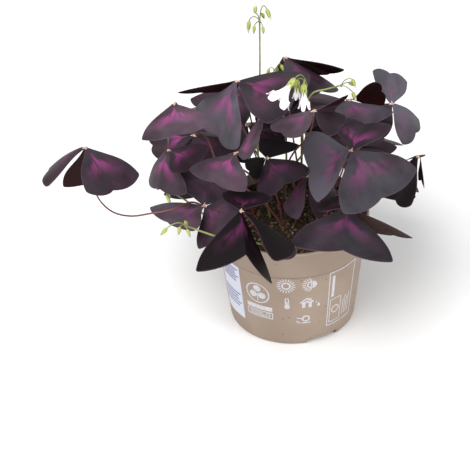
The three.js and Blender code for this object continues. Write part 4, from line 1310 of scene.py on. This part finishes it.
SIGNS = [  # what, azimuth and height
    (print_sun, -97.3, 62.0), (print_half_shade, -77.5, 62.0), (print_thermometer, -96.9, 44.6),
    (print_house, -80.7, 43.4), (print_drops, -71.4, 41.2), (print_watering, -84.2, 26.0),
    (print_leaf_badge, -121.5, 41.0), (print_panel, -152.0, 42.0), (print_frame, -47.0, 41.0),
]
INKS = [  # name, darker and paler colour
    ("ink_white", (0.44, 0.43, 0.45), (0.56, 0.55, 0.58)),
    ("ink_lilac", (0.17, 0.17, 0.28), (0.24, 0.24, 0.36)),
    ("ink_label", (0.50, 0.52, 0.60), (0.58, 0.60, 0.68)),
]


def make_prints():
    shape = Shape()
    for sign, azimuth, height in SIGNS:
        sign(Print(shape, azimuth, height))
    looks = [plain_look(*ink, 700.0, 0.5, 0.6, 0.1, 0.03) for ink in INKS]
    piece = shape.make("pot_signs", looks, smooth=False)
    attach(piece, "root")


# ---- floor, light and camera ----

FLOOR_REACH = 4000.0
FLOOR_HEIGHT = -0.05
WORLD_STRENGTH = 0.58
LAMP_TARGET = Vector((0, 0, 120))
LAMPS = [  # name, place, diameter and power in watts
    ("key_light", (-600, -600, 1350), 1500, 32),
    ("fill_light", (900, -900, 700), 1000, 10),
]
VIEW_TARGET = Vector((-43.8, 0.0, 71.5))
VIEW_DISTANCE = 1200.0
VIEW_ELEVATION = 35.3
VIEW_ROLL = -2.28
VIEW_LENS = 118.4
SENSOR_WIDTH = 36.0


def make_floor():
    corners = ((-1, -1), (1, -1), (1, 1), (-1, 1))
    shape = Shape()
    shape.add([(x * FLOOR_REACH, y * FLOOR_REACH, FLOOR_HEIGHT) for x, y in corners], [(0, 1, 2, 3)])
    shape.make("floor", [floor_look()], smooth=False)


def add_light(name, place, size, power):
    data = bpy.data.lights.new(name, "AREA")
    data.shape = "DISK"
    data.size = size * MM
    data.energy = power
    lamp = bpy.data.objects.new(name, data)
    lamp.location = Vector(place) * MM
    lamp.rotation_mode = "QUATERNION"
    lamp.rotation_quaternion = (LAMP_TARGET - Vector(place)).to_track_quat("-Z", "Y")
    bpy.context.scene.collection.objects.link(lamp)


def make_light():
    world = bpy.context.scene.world or bpy.data.worlds.new("studio")
    bpy.context.scene.world = world
    world.use_nodes = True
    background = world.node_tree.nodes["Background"]
    background.inputs["Color"].default_value = (1.0, 1.0, 1.0, 1.0)
    background.inputs["Strength"].default_value = WORLD_STRENGTH
    for lamp in LAMPS:
        add_light(*lamp)


def make_camera():
    e, roll = math.radians(VIEW_ELEVATION), math.radians(VIEW_ROLL)
    back = Vector((0, -math.cos(e), math.sin(e)))
    right = Vector((1, 0, 0))
    up = back.cross(right)
    tilted_right = right * math.cos(roll) + up * math.sin(roll)
    tilted_up = up * math.cos(roll) - right * math.sin(roll)
    data = bpy.data.cameras.new("camera")
    data.lens = VIEW_LENS
    data.sensor_width = SENSOR_WIDTH
    camera = bpy.data.objects.new("camera", data)
    columns = Matrix((tilted_right, tilted_up, back)).transposed()
    camera.matrix_world = Matrix.Translation((VIEW_TARGET + back * VIEW_DISTANCE) * MM) @ columns.to_4x4()
    bpy.context.scene.collection.objects.link(camera)
    bpy.context.scene.camera = camera


# ---- everything ----

make_camera()
make_light()
make_floor()
bpy.context.scene.view_settings.view_transform = "Standard"

make_leaves()
make_leafstalks()
make_flowers()
make_soil()
make_crumbs()
make_pot()
make_prints()
